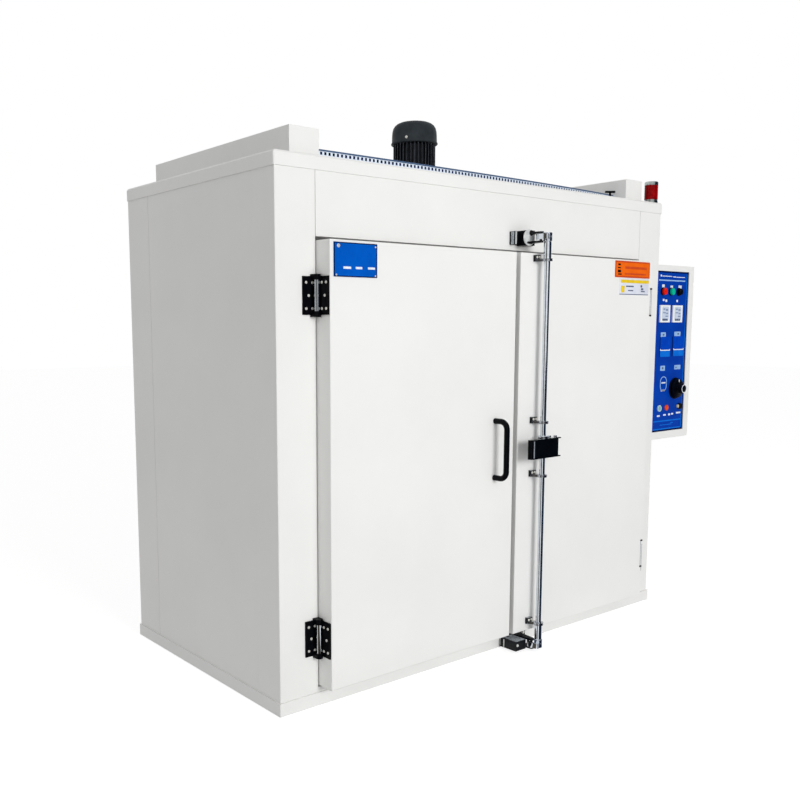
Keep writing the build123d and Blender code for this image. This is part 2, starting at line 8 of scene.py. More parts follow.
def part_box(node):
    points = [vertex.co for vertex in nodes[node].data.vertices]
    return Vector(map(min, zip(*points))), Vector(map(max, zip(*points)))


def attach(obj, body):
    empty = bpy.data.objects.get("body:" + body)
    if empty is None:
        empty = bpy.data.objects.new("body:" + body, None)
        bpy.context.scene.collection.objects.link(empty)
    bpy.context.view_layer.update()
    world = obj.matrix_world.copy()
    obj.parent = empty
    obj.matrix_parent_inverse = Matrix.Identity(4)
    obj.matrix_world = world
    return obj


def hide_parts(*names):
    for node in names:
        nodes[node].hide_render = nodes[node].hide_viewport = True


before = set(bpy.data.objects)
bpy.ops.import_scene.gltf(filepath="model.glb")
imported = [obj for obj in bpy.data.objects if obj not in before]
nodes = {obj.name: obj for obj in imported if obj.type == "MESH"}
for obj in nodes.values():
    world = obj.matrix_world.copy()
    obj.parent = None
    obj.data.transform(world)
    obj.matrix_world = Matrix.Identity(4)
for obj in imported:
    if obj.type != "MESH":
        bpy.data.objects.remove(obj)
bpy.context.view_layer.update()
scene = bpy.context.scene
print("frame loaded:", len(nodes), "nodes")

# lengths in the dictionaries are millimetres; colours are what a colour picker shows, 0 to 255


# the camera stands where the photo was taken from
cameraValues = {
    "place": (-3180.9, -3485.4, 1548.9),
    "turn": 38.075,  # degrees to the right of straight on
    "dip": 7.179,
    "lean": 0.19,
    "lens": 40.62,
    "shift": (0.0729, 0.0496),
}


def addCamera(values):
    data = bpy.data.cameras.new("photoCamera")
    data.sensor_width = 36
    data.lens = values["lens"]
    data.shift_x, data.shift_y = values["shift"]
    camera = bpy.data.objects.new("photoCamera", data)
    turn = Matrix.Rotation(-radians(values["turn"]), 4, "Z")
    dip = Matrix.Rotation(radians(90 - values["dip"]), 4, "X")
    lean = Matrix.Rotation(-radians(values["lean"]), 4, "Z")
    camera.matrix_world = Matrix.Translation(Vector(values["place"]) * 0.001) @ turn @ dip @ lean
    scene.collection.objects.link(camera)
    scene.camera = camera


def addNode(tree, kind, inputs=None, **settings):
    # one shader node; a socket given as an input is linked, anything else is its value
    made = tree.nodes.new(kind)
    for key, value in settings.items():
        setattr(made, key, value)
    for key, value in (inputs or {}).items():
        if isinstance(value, bpy.types.NodeSocket):
            tree.links.new(value, made.inputs[key])
        else:
            made.inputs[key].default_value = value
    return made


def picked(colour):
    # a colour as a picker shows it, made linear
    shares = [part / 255 for part in colour]
    linear = [s / 12.92 if s <= 0.04045 else ((s + 0.055) / 1.055) ** 2.4 for s in shares]
    return (*linear, 1)


def seenRays(tree):
    # 1 for what the camera, a gloss or a glass sees, 0 for light that falls on the oven
    path = addNode(tree, "ShaderNodeLightPath").outputs
    direct = {0: path["Is Camera Ray"], 1: path["Is Glossy Ray"]}
    both = addNode(tree, "ShaderNodeMath", direct, operation="MAXIMUM").outputs[0]
    glass = {0: both, 1: path["Is Transmission Ray"]}
    return addNode(tree, "ShaderNodeMath", glass, operation="MAXIMUM").outputs[0]


def seenColour(tree, way, sectors):
    # white, but for a gloss that looks toward a darker part of the room
    gloss = addNode(tree, "ShaderNodeLightPath").outputs["Is Glossy Ray"]
    colour = (1, 1, 1, 1)
    for sector in sectors:
        sides = {0: way, 1: Vector(sector["way"]).normalized()}
        near = addNode(tree, "ShaderNodeVectorMath", sides, operation="DOT_PRODUCT").outputs["Value"]
        edge = {"Value": near, "From Min": sector["from"], "From Max": sector["to"]}
        share = addNode(tree, "ShaderNodeMapRange", edge, interpolation_type="SMOOTHSTEP").outputs[0]
        dark = addNode(tree, "ShaderNodeMath", {0: share, 1: gloss}, operation="MULTIPLY").outputs[0]
        mixed = {0: dark, 1: colour, 2: picked(sector["colour"])}
        colour = addNode(tree, "ShaderNodeMixRGB", mixed).outputs[0]
    return colour


roomValues = {
    "ambient": 0.53,
    "ambientRight": 0.34,  # the light falls off toward the right
    # glosses find darker parts of the room and of the floor to both sides of the camera
    "darkRoom": (
        {"way": (0.69, -0.72, 0.0), "from": 0.62, "to": 0.76, "colour": (30, 38, 54)},
        {"way": (-0.98, -0.20, 0.0), "from": 0.94, "to": 0.975, "colour": (84, 77, 68)},
    ),
    "darkFloor": (
        {"way": (0.29, -0.957, 0.0), "from": 0.54, "to": 0.68, "colour": (30, 38, 54)},
        {"way": (-0.98, -0.20, 0.0), "from": 0.94, "to": 0.975, "colour": (84, 77, 68)},
    ),
    "darkMiddle": (150, -760, 0),  # the dark of the floor starts here
    "key": {"place": (-900, -8600, 3000), "aim": (0, -700, 1100), "size": 3400, "watts": 380},
    "floorSize": 60000,
    "floorBounce": 0.80,
    "floorGlow": 0.78,
    "floorShade": 0.42,
}


def addRoom(values):
    world = bpy.data.worlds.new("whiteRoom")
    world.use_nodes = True
    tree = world.node_tree
    tree.nodes.clear()
    way = addNode(tree, "ShaderNodeTexCoord").outputs["Generated"]
    right = addNode(tree, "ShaderNodeSeparateXYZ", {0: way}).outputs["X"]
    ends = {"Value": right, "To Min": values["ambient"], "To Max": values["ambientRight"]}
    level = addNode(tree, "ShaderNodeMapRange", ends).outputs[0]
    ambient = addNode(tree, "ShaderNodeBackground", {"Color": (1, 1, 1, 1), "Strength": level})
    seen = addNode(tree, "ShaderNodeBackground", {"Color": seenColour(tree, way, values["darkRoom"])})
    parts = {0: seenRays(tree), 1: ambient.outputs[0], 2: seen.outputs[0]}
    both = addNode(tree, "ShaderNodeMixShader", parts)
    addNode(tree, "ShaderNodeOutputWorld", {"Surface": both.outputs[0]})
    scene.world = world

    key = values["key"]
    lamp = bpy.data.lights.new("softKey", "AREA")
    lamp.shape = "DISK"
    lamp.size = key["size"] * 0.001
    lamp.energy = key["watts"]
    holder = bpy.data.objects.new("softKey", lamp)
    holder.location = Vector(key["place"]) * 0.001
    aim = (Vector(key["aim"]) - Vector(key["place"])).to_track_quat("-Z", "Y")
    holder.rotation_mode = "QUATERNION"
    holder.rotation_quaternion = aim
    holder.visible_glossy = False
    scene.collection.objects.link(holder)

    half = values["floorSize"] * 0.0005
    mesh = bpy.data.meshes.new("paleFloor")
    outline = [(-half, -half, 0), (half, -half, 0), (half, half, 0), (-half, half, 0)]
    mesh.from_pydata(outline, [], [(0, 1, 2, 3)])
    floor = bpy.data.objects.new("paleFloor", mesh)
    floor.location.z = -0.0005
    scene.collection.objects.link(floor)

    finish = bpy.data.materials.new("paleFloor")
    finish.use_nodes = True
    tree = finish.node_tree
    tree.nodes.clear()
    bounce = values["floorBounce"]
    shade = values["floorShade"]
    plain = addNode(tree, "ShaderNodeBsdfDiffuse", {"Color": (bounce, bounce, bounce, 1)})
    spot = addNode(tree, "ShaderNodeTexCoord").outputs["Object"]
    middle = Vector(values["darkMiddle"]) * 0.001
    away = addNode(tree, "ShaderNodeVectorMath", {0: spot, 1: middle}, operation="SUBTRACT").outputs[0]
    way = addNode(tree, "ShaderNodeVectorMath", {0: away}, operation="NORMALIZE").outputs[0]
    colour = seenColour(tree, way, values["darkFloor"])
    shaded = addNode(tree, "ShaderNodeMixRGB", {0: shade, 1: (0, 0, 0, 1), 2: colour}).outputs[0]
    soft = addNode(tree, "ShaderNodeBsdfDiffuse", {"Color": shaded})
    glow = addNode(tree, "ShaderNodeEmission", {"Color": colour, "Strength": values["floorGlow"]})
    white = addNode(tree, "ShaderNodeAddShader", {0: soft.outputs[0], 1: glow.outputs[0]})
    parts = {0: seenRays(tree), 1: plain.outputs[0], 2: white.outputs[0]}
    both = addNode(tree, "ShaderNodeMixShader", parts)
    addNode(tree, "ShaderNodeOutputMaterial", {"Surface": both.outputs[0]})
    mesh.materials.append(finish)


addCamera(cameraValues)
addRoom(roomValues)
scene.view_settings.view_transform = "Standard"
print("camera, lamp and floor are in")


# colours: the two that the surface drifts between; drift: size of a patch; rough: from, to
# grain: size and depth of the fine relief; soften: radius of a rounded edge; edgeWearAndHighlight: colour
# laid onto edges, wear on most finishes, painted highlight on the motor's fins and the lock castings, a
# little darker on the paint
# gloss: how much a surface that is no metal reflects
finishValues = {
    "paint": {
        "colours": ((236, 236, 234), (232, 232, 230)), "drift": 700, "rough": (0.34, 0.46),
        "grain": (3.0, 0.018), "soften": 1.6, "edgeWearAndHighlight": (214, 215, 213), "edgeWearAndHighlightShare": 0.35,
    },
    "liner": {
        "colours": ((186, 187, 186), (168, 170, 171)), "drift": 260, "rough": (0.24, 0.42), "metal": 1.0,
        "grain": (1.2, 0.006), "stretch": (1, 1, 0.03), "soften": 0.8,
    },
    "seal": {
        "gloss": 0.15, "colours": ((34, 34, 35), (24, 24, 25)), "drift": 60, "rough": (0.5, 0.7),
        "grain": (1.5, 0.03), "soften": 1.5,
    },
    "hinge_black": {
        "gloss": 0.06, "colours": ((8, 9, 13), (4, 5, 8)), "drift": 30, "rough": (0.32, 0.46),
        "grain": (1.1, 0.025), "soften": 0.8, "edgeWearAndHighlight": (40, 42, 46), "edgeWearAndHighlightShare": 0.5,
    },
    "chrome": {
        "colours": ((222, 228, 236), (204, 210, 218)), "drift": 40, "rough": (0.05, 0.12), "metal": 1.0,
        "grain": (2.0, 0.002), "soften": 0.6,
    },
    "zinc": {
        "colours": ((196, 200, 206), (120, 124, 130)), "drift": 14, "rough": (0.14, 0.28), "metal": 1.0,
        "grain": (1.4, 0.04), "soften": 1.0, "edgeWearAndHighlight": (230, 230, 228), "edgeWearAndHighlightShare": 0.6,
    },
    "grip_black": {
        "gloss": 0.07, "colours": ((6, 9, 13), (3, 5, 8)), "drift": 40, "rough": (0.10, 0.2),
        "grain": (0.9, 0.012), "soften": 1.2,
    },
    "blue_plate": {
        "gloss": 0.04, "colours": ((0, 88, 190), (0, 80, 178)), "drift": 90, "rough": (0.24, 0.34),
        "grain": (1.6, 0.006), "soften": 0.8,
    },
    "blue_panel": {
        "gloss": 0.04, "colours": ((0, 62, 170), (0, 52, 155)), "drift": 160, "rough": (0.28, 0.4),
        "grain": (1.2, 0.010), "soften": 0.8,
    },
    "trunking": {
        "colours": ((228, 238, 250), (218, 230, 246)), "drift": 90, "rough": (0.36, 0.5),
        "grain": (1.5, 0.01), "soften": 0.6,
    },
    "trunkingLid": {
        "gloss": 0.2, "colours": ((78, 100, 132), (66, 88, 120)), "drift": 90, "rough": (0.3, 0.42),
        "grain": (1.5, 0.01), "soften": 0.8,
    },
    # the fins' edges get a pale blue painted highlight
    "motor_black": {
        "gloss": 0.1, "colours": ((24, 26, 30), (10, 12, 15)), "drift": 26, "rough": (0.3, 0.44),
        "grain": (1.6, 0.02), "soften": 2.4, "edgeWearAndHighlight": (124, 130, 142), "edgeWearAndHighlightShare": 1.6,
    },
    "cowl_black": {
        "gloss": 0.06, "colours": ((52, 57, 61), (40, 45, 48)), "drift": 60, "rough": (0.42, 0.56),
        "grain": (1.1, 0.02), "soften": 0.8,
    },
    "lamp_metal": {
        "colours": ((176, 184, 182), (150, 158, 157)), "drift": 30, "rough": (0.22, 0.36), "metal": 1.0,
        "grain": (1.2, 0.004), "soften": 1.2,
    },
    "lamp_red": {
        "gloss": 0.08, "colours": ((150, 4, 6), (116, 0, 3)), "drift": 30, "rough": (0.12, 0.2),
        "grain": (2.0, 0.01), "soften": 0.8,
    },
    "controller": {
        "colours": ((240, 242, 242), (232, 235, 236)), "drift": 30, "rough": (0.34, 0.46),
        "grain": (0.8, 0.012), "soften": 1.2,
    },
    "button_red": {
        "gloss": 0.08, "colours": ((226, 34, 16), (204, 20, 10)), "drift": 18, "rough": (0.2, 0.32),
        "grain": (0.7, 0.008), "soften": 1.0,
    },
    "button_green": {
        "gloss": 0.08, "colours": ((6, 186, 150), (2, 164, 134)), "drift": 18, "rough": (0.2, 0.32),
        "grain": (0.7, 0.008), "soften": 1.0,
    },
    "button_black": {
        "gloss": 0.06, "colours": ((12, 13, 16), (6, 7, 9)), "drift": 18, "rough": (0.24, 0.38),
        "grain": (0.7, 0.01), "soften": 1.0,
    },
    "pilot": {
        "gloss": 0.3, "colours": ((196, 226, 232), (178, 212, 220)), "drift": 10, "rough": (0.14, 0.24),
        "grain": (0.7, 0.006), "soften": 0.8,
    },
    "switch_black": {
        "gloss": 0.06, "colours": ((6, 9, 20), (3, 4, 10)), "drift": 30, "rough": (0.28, 0.42),
        "grain": (0.9, 0.015), "soften": 1.4, "edgeWearAndHighlight": (60, 62, 66), "edgeWearAndHighlightShare": 0.4,
    },
    "screw": {
        "colours": ((240, 238, 230), (212, 211, 206)), "drift": 6, "rough": (0.2, 0.36), "metal": 0.35,
        "grain": (0.8, 0.02), "soften": 0.3,
    },
    # three tones of one lock casting: pale for painted highlights, grey for painted light on lit faces and
    # for painted shade lines, dark for painted dark reflections
    "castPaleReflection": {
        "colours": ((226, 228, 226), (196, 200, 200)), "drift": 16, "rough": (0.3, 0.46), "metal": 0.15,
        "grain": (1.2, 0.06), "soften": 0.8, "edgeWearAndHighlight": (232, 232, 230), "edgeWearAndHighlightShare": 0.5,
    },
    "castGreyLightAndShade": {
        "colours": ((196, 204, 210), (96, 102, 110)), "drift": 7, "rough": (0.4, 0.6), "metal": 0.1,
        "grain": (2.4, 0.1), "soften": 0.6, "edgeWearAndHighlight": (210, 212, 214), "edgeWearAndHighlightShare": 0.6,
    },
    "castDarkReflection": {
        "gloss": 0.16, "colours": ((24, 27, 32), (6, 8, 11)), "drift": 16, "rough": (0.24, 0.44),
        "grain": (1.4, 0.08), "soften": 0.8, "edgeWearAndHighlight": (120, 124, 128), "edgeWearAndHighlightShare": 0.6,
    },
    # painted highlight for the grip's rounded left end
    "gripHighlight": {
        "gloss": 0.3, "colours": ((150, 156, 164), (122, 128, 136)), "drift": 20, "rough": (0.26, 0.4),
        "grain": (0.8, 0.01), "soften": 0.6,
    },
    # navy print, also the painted shade inside the trunking
    "navyPrintAndShade": {
        "gloss": 0.04, "colours": ((0, 18, 78), (0, 12, 60)), "drift": 60, "rough": (0.3, 0.42),
        "grain": (1.0, 0.006), "soften": 0.3,
    },
    "azureInk": {
        "gloss": 0.05, "colours": ((4, 112, 216), (0, 98, 204)), "drift": 50, "rough": (0.3, 0.42),
        "grain": (1.0, 0.006), "soften": 0.3,
    },
    "skyInk": {
        "gloss": 0.2, "colours": ((150, 186, 228), (134, 172, 220)), "drift": 20, "rough": (0.3, 0.42),
        "grain": (1.0, 0.006), "soften": 0.3,
    },
    "windowInk": {
        "gloss": 0.05, "colours": ((0, 70, 190), (0, 60, 176)), "drift": 60, "rough": (0.2, 0.3),
        "grain": (1.0, 0.006), "soften": 0.3,
    },
    # white print, also the painted highlight on the main switch's grip end
    "whitePrintAndHighlight": {
        "gloss": 0.3, "colours": ((232, 236, 242), (214, 220, 230)), "drift": 20, "rough": (0.34, 0.46),
        "grain": (1.0, 0.008), "soften": 0.3,
    },
    "slateInk": {
        "gloss": 0.2, "colours": ((92, 104, 132), (70, 82, 110)), "drift": 12, "rough": (0.34, 0.46),
        "grain": (0.8, 0.006), "soften": 0.2,
    },
    # dark print, also the painted shade of the keeper's hole and slot
    "darkPrintAndShade": {
        "gloss": 0.06, "colours": ((28, 20, 18), (12, 10, 10)), "drift": 12, "rough": (0.4, 0.55),
        "grain": (0.8, 0.006), "soften": 0.2,
    },
    "orangeInk": {
        "gloss": 0.06, "colours": ((236, 104, 16), (226, 92, 8)), "drift": 60, "rough": (0.34, 0.48),
        "grain": (1.0, 0.008), "soften": 0.4,
    },
    "rustInk": {
        "gloss": 0.16, "colours": ((206, 76, 26), (190, 66, 24)), "drift": 30, "rough": (0.36, 0.5),
        "grain": (0.8, 0.006), "soften": 0.2,
    },
    "cardWhite": {
        "gloss": 0.3, "colours": ((222, 226, 238), (214, 219, 232)), "drift": 60, "rough": (0.4, 0.5),
        "grain": (0.8, 0.006), "soften": 0.3,
    },
    "yellowInk": {
        "gloss": 0.2, "colours": ((232, 202, 40), (222, 186, 24)), "drift": 30, "rough": (0.36, 0.48),
        "grain": (0.8, 0.006), "soften": 0.2,
    },
    "displayInk": {
        "gloss": 0.3, "colours": ((206, 215, 232), (192, 203, 224)), "drift": 16, "rough": (0.12, 0.2),
        "grain": (0.8, 0.004), "soften": 0.2,
    },
    "displayDigits": {
        "gloss": 0.2, "colours": ((150, 166, 196), (124, 140, 174)), "drift": 12, "rough": (0.2, 0.3),
        "grain": (0.8, 0.004), "soften": 0.2,
    },
    "pilotDark": {
        "gloss": 0.3, "colours": ((140, 190, 192), (112, 166, 172)), "drift": 8, "rough": (0.1, 0.2),
        "grain": (0.7, 0.006), "soften": 0.4, "coat": 0.4,
    },
    "orangeLamp": {
        "gloss": 0.1, "colours": ((244, 92, 20), (224, 60, 8)), "drift": 9, "rough": (0.14, 0.24),
        "grain": (0.7, 0.006), "soften": 0.5, "coat": 0.3,
    },
    "keyBeige": {
        "gloss": 0.3, "colours": ((214, 206, 180), (190, 182, 158)), "drift": 8, "rough": (0.3, 0.42),
        "grain": (0.7, 0.01), "soften": 0.6,
    },
}


def makeFinish(name, values):
    finish = bpy.data.materials.new(name)
    finish.use_nodes = True
    tree = finish.node_tree
    shader = tree.nodes["Principled BSDF"]
    shader.inputs["Metallic"].default_value = values.get("metal", 0.0)
    shader.inputs["Specular IOR Level"].default_value = values.get("gloss", 0.5)
    if "coat" in values:
        shader.inputs["Coat Weight"].default_value = values["coat"]
        shader.inputs["Coat Roughness"].default_value = 0.05
    place = addNode(tree, "ShaderNodeTexCoord").outputs["Object"]
    stretch = {"Vector": place, "Scale": values.get("stretch", (1, 1, 1))}
    along = addNode(tree, "ShaderNodeMapping", stretch).outputs[0]

    drift = {"Vector": place, "Scale": 1000 / values["drift"], "Detail": 5.0, "Roughness": 0.6}
    patches = addNode(tree, "ShaderNodeTexNoise", drift)
    tint = addNode(tree, "ShaderNodeValToRGB", {"Fac": patches.outputs[0]})
    first, last = tint.color_ramp.elements
    first.position, last.position = 0.34, 0.66
    first.color, last.color = [picked(colour) for colour in values["colours"]]
    colour = tint.outputs["Color"]

    grainSize, grainDepth = values["grain"]
    fine = {"Vector": along, "Scale": 1000 / grainSize, "Detail": 2.0, "Roughness": 0.5}
    grain = addNode(tree, "ShaderNodeTexNoise", fine)
    coarse = {"Vector": along, "Scale": 2600 / values["drift"], "Detail": 6.0, "Roughness": 0.7}
    smudges = addNode(tree, "ShaderNodeTexNoise", coarse)
    low, high = values["rough"]
    spread = {"Value": smudges.outputs[0], "From Min": 0.3, "From Max": 0.7, "To Min": low, "To Max": high}
    rough = addNode(tree, "ShaderNodeMapRange", spread)
    tree.links.new(rough.outputs[0], shader.inputs["Roughness"])

    rounded = addNode(tree, "ShaderNodeBevel", {"Radius": values["soften"] * 0.001}, samples=4)
    if "edgeWearAndHighlight" in values:
        # an edge shows where the rounded normal leaves the face's own; its colour is wear on some finishes
        # and painted highlight on others
        flat = addNode(tree, "ShaderNodeNewGeometry").outputs["Normal"]
        turn = {0: rounded.outputs[0], 1: flat}
        agreed = addNode(tree, "ShaderNodeVectorMath", turn, operation="DOT_PRODUCT").outputs["Value"]
        most = values["edgeWearAndHighlightShare"]
        wearAndHighlightRange = {"Value": agreed, "From Min": 0.99, "From Max": 0.80, "To Min": 0.0, "To Max": most}
        edge = addNode(tree, "ShaderNodeMapRange", wearAndHighlightRange)
        wearAndHighlightMask = {0: edge.outputs[0], 1: smudges.outputs[0]}
        share = addNode(tree, "ShaderNodeMath", wearAndHighlightMask, operation="MULTIPLY")
        mixed = {0: share.outputs[0], 1: colour, 2: picked(values["edgeWearAndHighlight"])}
        colour = addNode(tree, "ShaderNodeMixRGB", mixed).outputs[0]
    tree.links.new(colour, shader.inputs["Base Color"])
    relief = {"Height": grain.outputs[0], "Normal": rounded.outputs[0], "Distance": grainDepth * 0.001}
    bump = addNode(tree, "ShaderNodeBump", relief)
    tree.links.new(bump.outputs[0], shader.inputs["Normal"])
    return finish


finishes = {slot: makeFinish(slot + "Finish", values) for slot, values in finishValues.items()}

for node in nodes.values():
    for holder in node.material_slots:
        slot = holder.material.name.split(".")[0]
        holder.material = finishes[slot]
# the keepers take the dark tone of the casting: painted dark reflection
for name in ("top_keeper", "bottom_keeper"):
    nodes[name].material_slots[0].material = finishes["castDarkReflection"]
print("finishes are on the frame:", len(finishes))


def facing(origin, across=(1, 0, 0), up=(0, 0, 1)):
    # a place on a surface: points are given across it, up it and out of it, in mm
    across, up = Vector(across), Vector(up)
    turn = Matrix((across, up, across.cross(up))).transposed().to_4x4()
    return Matrix.Translation(Vector(origin) * 0.001) @ turn @ Matrix.Scale(0.001, 4)


def roundedOutline(width, height, radius, steps=5):
    points = []
    for quarter in range(4):
        across = (1, -1, -1, 1)[quarter] * (width / 2 - radius)
        up = (1, 1, -1, -1)[quarter] * (height / 2 - radius)
        for step in range(steps + 1):
            turn = (quarter + step / steps) * pi / 2
            points.append((across + radius * cos(turn), up + radius * sin(turn)))
    return points


def stackRings(shape, rings, closed=True):
    for low, high in zip(rings, rings[1:]):
        for here in range(len(low)):
            there = (here + 1) % len(low)
            shape.faces.new((low[here], low[there], high[there], high[here]))
    if closed:
        shape.faces.new(rings[0])
        shape.faces.new(rings[-1])


def addRing(shape, place, points, out, middle):
    return [shape.verts.new(place @ Vector((middle[0] + x, middle[1] + y, out))) for x, y in points]


def addPlate(shape, place, width, height, radius, levels, middle=(0, 0)):
    # levels are (inset from the outline, height above the surface)
    rings = []
    for inset, out in levels:
        points = roundedOutline(width - 2 * inset, height - 2 * inset, max(radius - inset, 0.15))
        rings.append(addRing(shape, place, points, out, middle))
    stackRings(shape, rings)


def addTurned(shape, place, levels, steps=32, middle=(0, 0)):
    # levels are (radius, height), with a third number where the ring has flats
    rings = []
    for level in levels:
        radius, out = level[:2]
        flats = level[2] if len(level) > 2 else 0
        points = []
        for step in range(steps):
            turn = tau * step / steps
            reach = radius
            if flats:
                share = pi / flats
                reach = radius * cos(share) / cos((turn % (2 * share)) - share)
            points.append((reach * cos(turn), reach * sin(turn)))
        rings.append(addRing(shape, place, points, out, middle))
    stackRings(shape, rings)


def addTube(shape, points, radius, steps=24):
    # a round bar along points in mm, turned as little as it can be from one to the next
    points = [Vector(point) * 0.001 for point in points]
    ahead = (points[1] - points[0]).normalized()
    side = ahead.orthogonal().normalized()
    rings = []
    for index, point in enumerate(points):
        before = points[max(index - 1, 0)]
        after = points[min(index + 1, len(points) - 1)]
        now = (after - before).normalized()
        side = (ahead.rotation_difference(now) @ side).normalized()
        ahead = now
        other = ahead.cross(side)
        ring = []
        for step in range(steps):
            turn = tau * step / steps
            ring.append(shape.verts.new(point + (side * cos(turn) + other * sin(turn)) * radius * 0.001))
        rings.append(ring)
    stackRings(shape, rings)


def addBlock(shape, place, low, high, soften=0.4):
    # a block between two corners, its front edges slightly rounded
    width, height = high[0] - low[0], high[1] - low[1]
    middle = ((low[0] + high[0]) / 2, (low[1] + high[1]) / 2)
    levels = [(0, low[2]), (0, high[2] - soften), (soften * 0.3, high[2] - soften * 0.3), (soften, high[2])]
    addPlate(shape, place, width, height, soften, levels, middle)


def putPiece(name, shape, body, slot=None, finish=None, sharp=35, stands=()):
    mesh = bpy.data.meshes.new(name)
    bmesh.ops.recalc_face_normals(shape, faces=shape.faces)
    shape.to_mesh(mesh)
    shape.free()
    mesh.materials.append(finish or finishes[slot])
    mesh.shade_smooth()
    mesh.set_sharp_from_angle(angle=radians(sharp))
    piece = bpy.data.objects.new(name, mesh)
    scene.collection.objects.link(piece)
    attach(piece, body)
    if stands:
        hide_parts(*stands)
    return piece


def corners(node):
    # the lowest and highest corner of a part of the frame, in mm
    low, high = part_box(node)
    return low * 1000, high * 1000


handleValues = {"bar": 26, "bend": 36, "turns": 10, "flange": 3}


def addHandle(values):
    low, high = corners("pull_handle")
    radius = values["bar"] / 2
    x = (low.x + high.x) / 2
    front = low.y + radius
    back = high.y
    bend = values["bend"]
    bottom, top = low.z + radius, high.z - radius
    points = [(x, back, bottom)]
    for step in range(values["turns"] + 1):
        turn = step / values["turns"] * pi / 2
        points.append((x, front + bend * (1 - sin(turn)), bottom + bend * (1 - cos(turn))))
    for step in range(values["turns"] + 1):
        turn = step / values["turns"] * pi / 2
        points.append((x, front + bend * (1 - cos(turn)), top - bend * (1 - sin(turn))))
    points.append((x, back, top))
    shape = bmesh.new()
    addTube(shape, points, radius, 32)
    putPiece("roundHandle", shape, "left_door", "grip_black", stands=["pull_handle"])


addHandle(handleValues)
print("pull handle done")


motorValues = {
    "fins": 34, "finThick": 4.6, "finRoot": 88, "finTip": 105.5, "core": 89,
    "flange": 130, "flangeThick": 14, "seat": 118,
    "cover": [
        (105, 0), (114, 0), (116.5, 2.5), (116.5, 7), (113, 11), (112, 44), (110.5, 62), (106.5, 78),
        (99, 90), (88, 99), (74, 105), (54, 108.5), (30, 109.8), (4, 110),
    ],
}


def addMotor(values):
    low, high = corners("fan_motor")
    middle = ((low.x + high.x) / 2, (low.y + high.y) / 2)
    place = facing((*middle, low.z), up=(0, 1, 0))
    tall = high.z - low.z
    shape = bmesh.new()
    thick = values["flangeThick"]
    flange, seat, core = values["flange"], values["seat"], values["core"]
    addTurned(
        shape, place,
        [
            (flange - 3, 0), (flange, 2), (flange, thick - 3), (flange - 3, thick), (seat, thick + 2),
            (seat - 6, thick + 12), (core, thick + 16), (core, tall - 8), (core - 10, tall),
        ],
        72,
    )
    for fin in range(values["fins"]):
        turn = tau * (fin + 0.5) / values["fins"]
        out = (cos(turn), sin(turn), 0)
        side = (-sin(turn), cos(turn), 0)
        half = values["finThick"] / 2
        ring = []
        for height in (thick + 6, tall - 2):
            tip = values["finTip"]
            for reach, wide in ((values["finRoot"], half * 1.3), (tip - 1.2, half), (tip, half * 0.5)):
                for edge in (-wide, wide):
                    across = out[0] * reach + side[0] * edge
                    along = out[1] * reach + side[1] * edge
                    ring.append(shape.verts.new(place @ Vector((across, along, height))))
        loop = (0, 2, 4, 5, 3, 1)
        shape.faces.new([ring[i] for i in loop])
        shape.faces.new([ring[i + 6] for i in loop])
        for here, there in zip(loop, loop[1:] + loop[:1]):
            shape.faces.new((ring[here], ring[there], ring[there + 6], ring[here + 6]))
    putPiece("finnedMotor", shape, "cabinet", "motor_black", stands=["fan_motor"])

    place = facing((*middle, corners("fan_cowl")[0].z), up=(0, 1, 0))
    shape = bmesh.new()
    addTurned(shape, place, values["cover"], 96)
    putPiece("fanCover", shape, "cabinet", "cowl_black", sharp=50, stands=["fan_cowl"])


addMotor(motorValues)
print("fan motor done")


# bend: how much further back the right end lies; cuts: how finely the bend is divided
trunkingValues = {
    "wall": 1.6, "pitch": 20.8, "slotWide": 11, "slotTall": 12, "slotLow": 16, "lid": 7, "lidOver": 1.0,
    "inside": 4, "bend": 67, "cuts": 32,
}
boxFaces = ((0, 1, 3, 2), (4, 6, 7, 5), (0, 4, 5, 1), (2, 3, 7, 6), (0, 2, 6, 4), (1, 5, 7, 3))


def bendBack(shape, left, right, reach, cuts):
    # the duct lies straight at its left end and swings back toward its right one
    for cut in range(1, cuts):
        x = left + (right - left) * cut / cuts
        everything = shape.verts[:] + shape.edges[:] + shape.faces[:]
        bmesh.ops.bisect_plane(shape, geom=everything, plane_co=(x * 0.001, 0, 0), plane_no=(1, 0, 0))
    for vert in shape.verts:
        along = (vert.co.x * 1000 - left) / (right - left)
        vert.co.y += reach * 0.001 * along ** 3


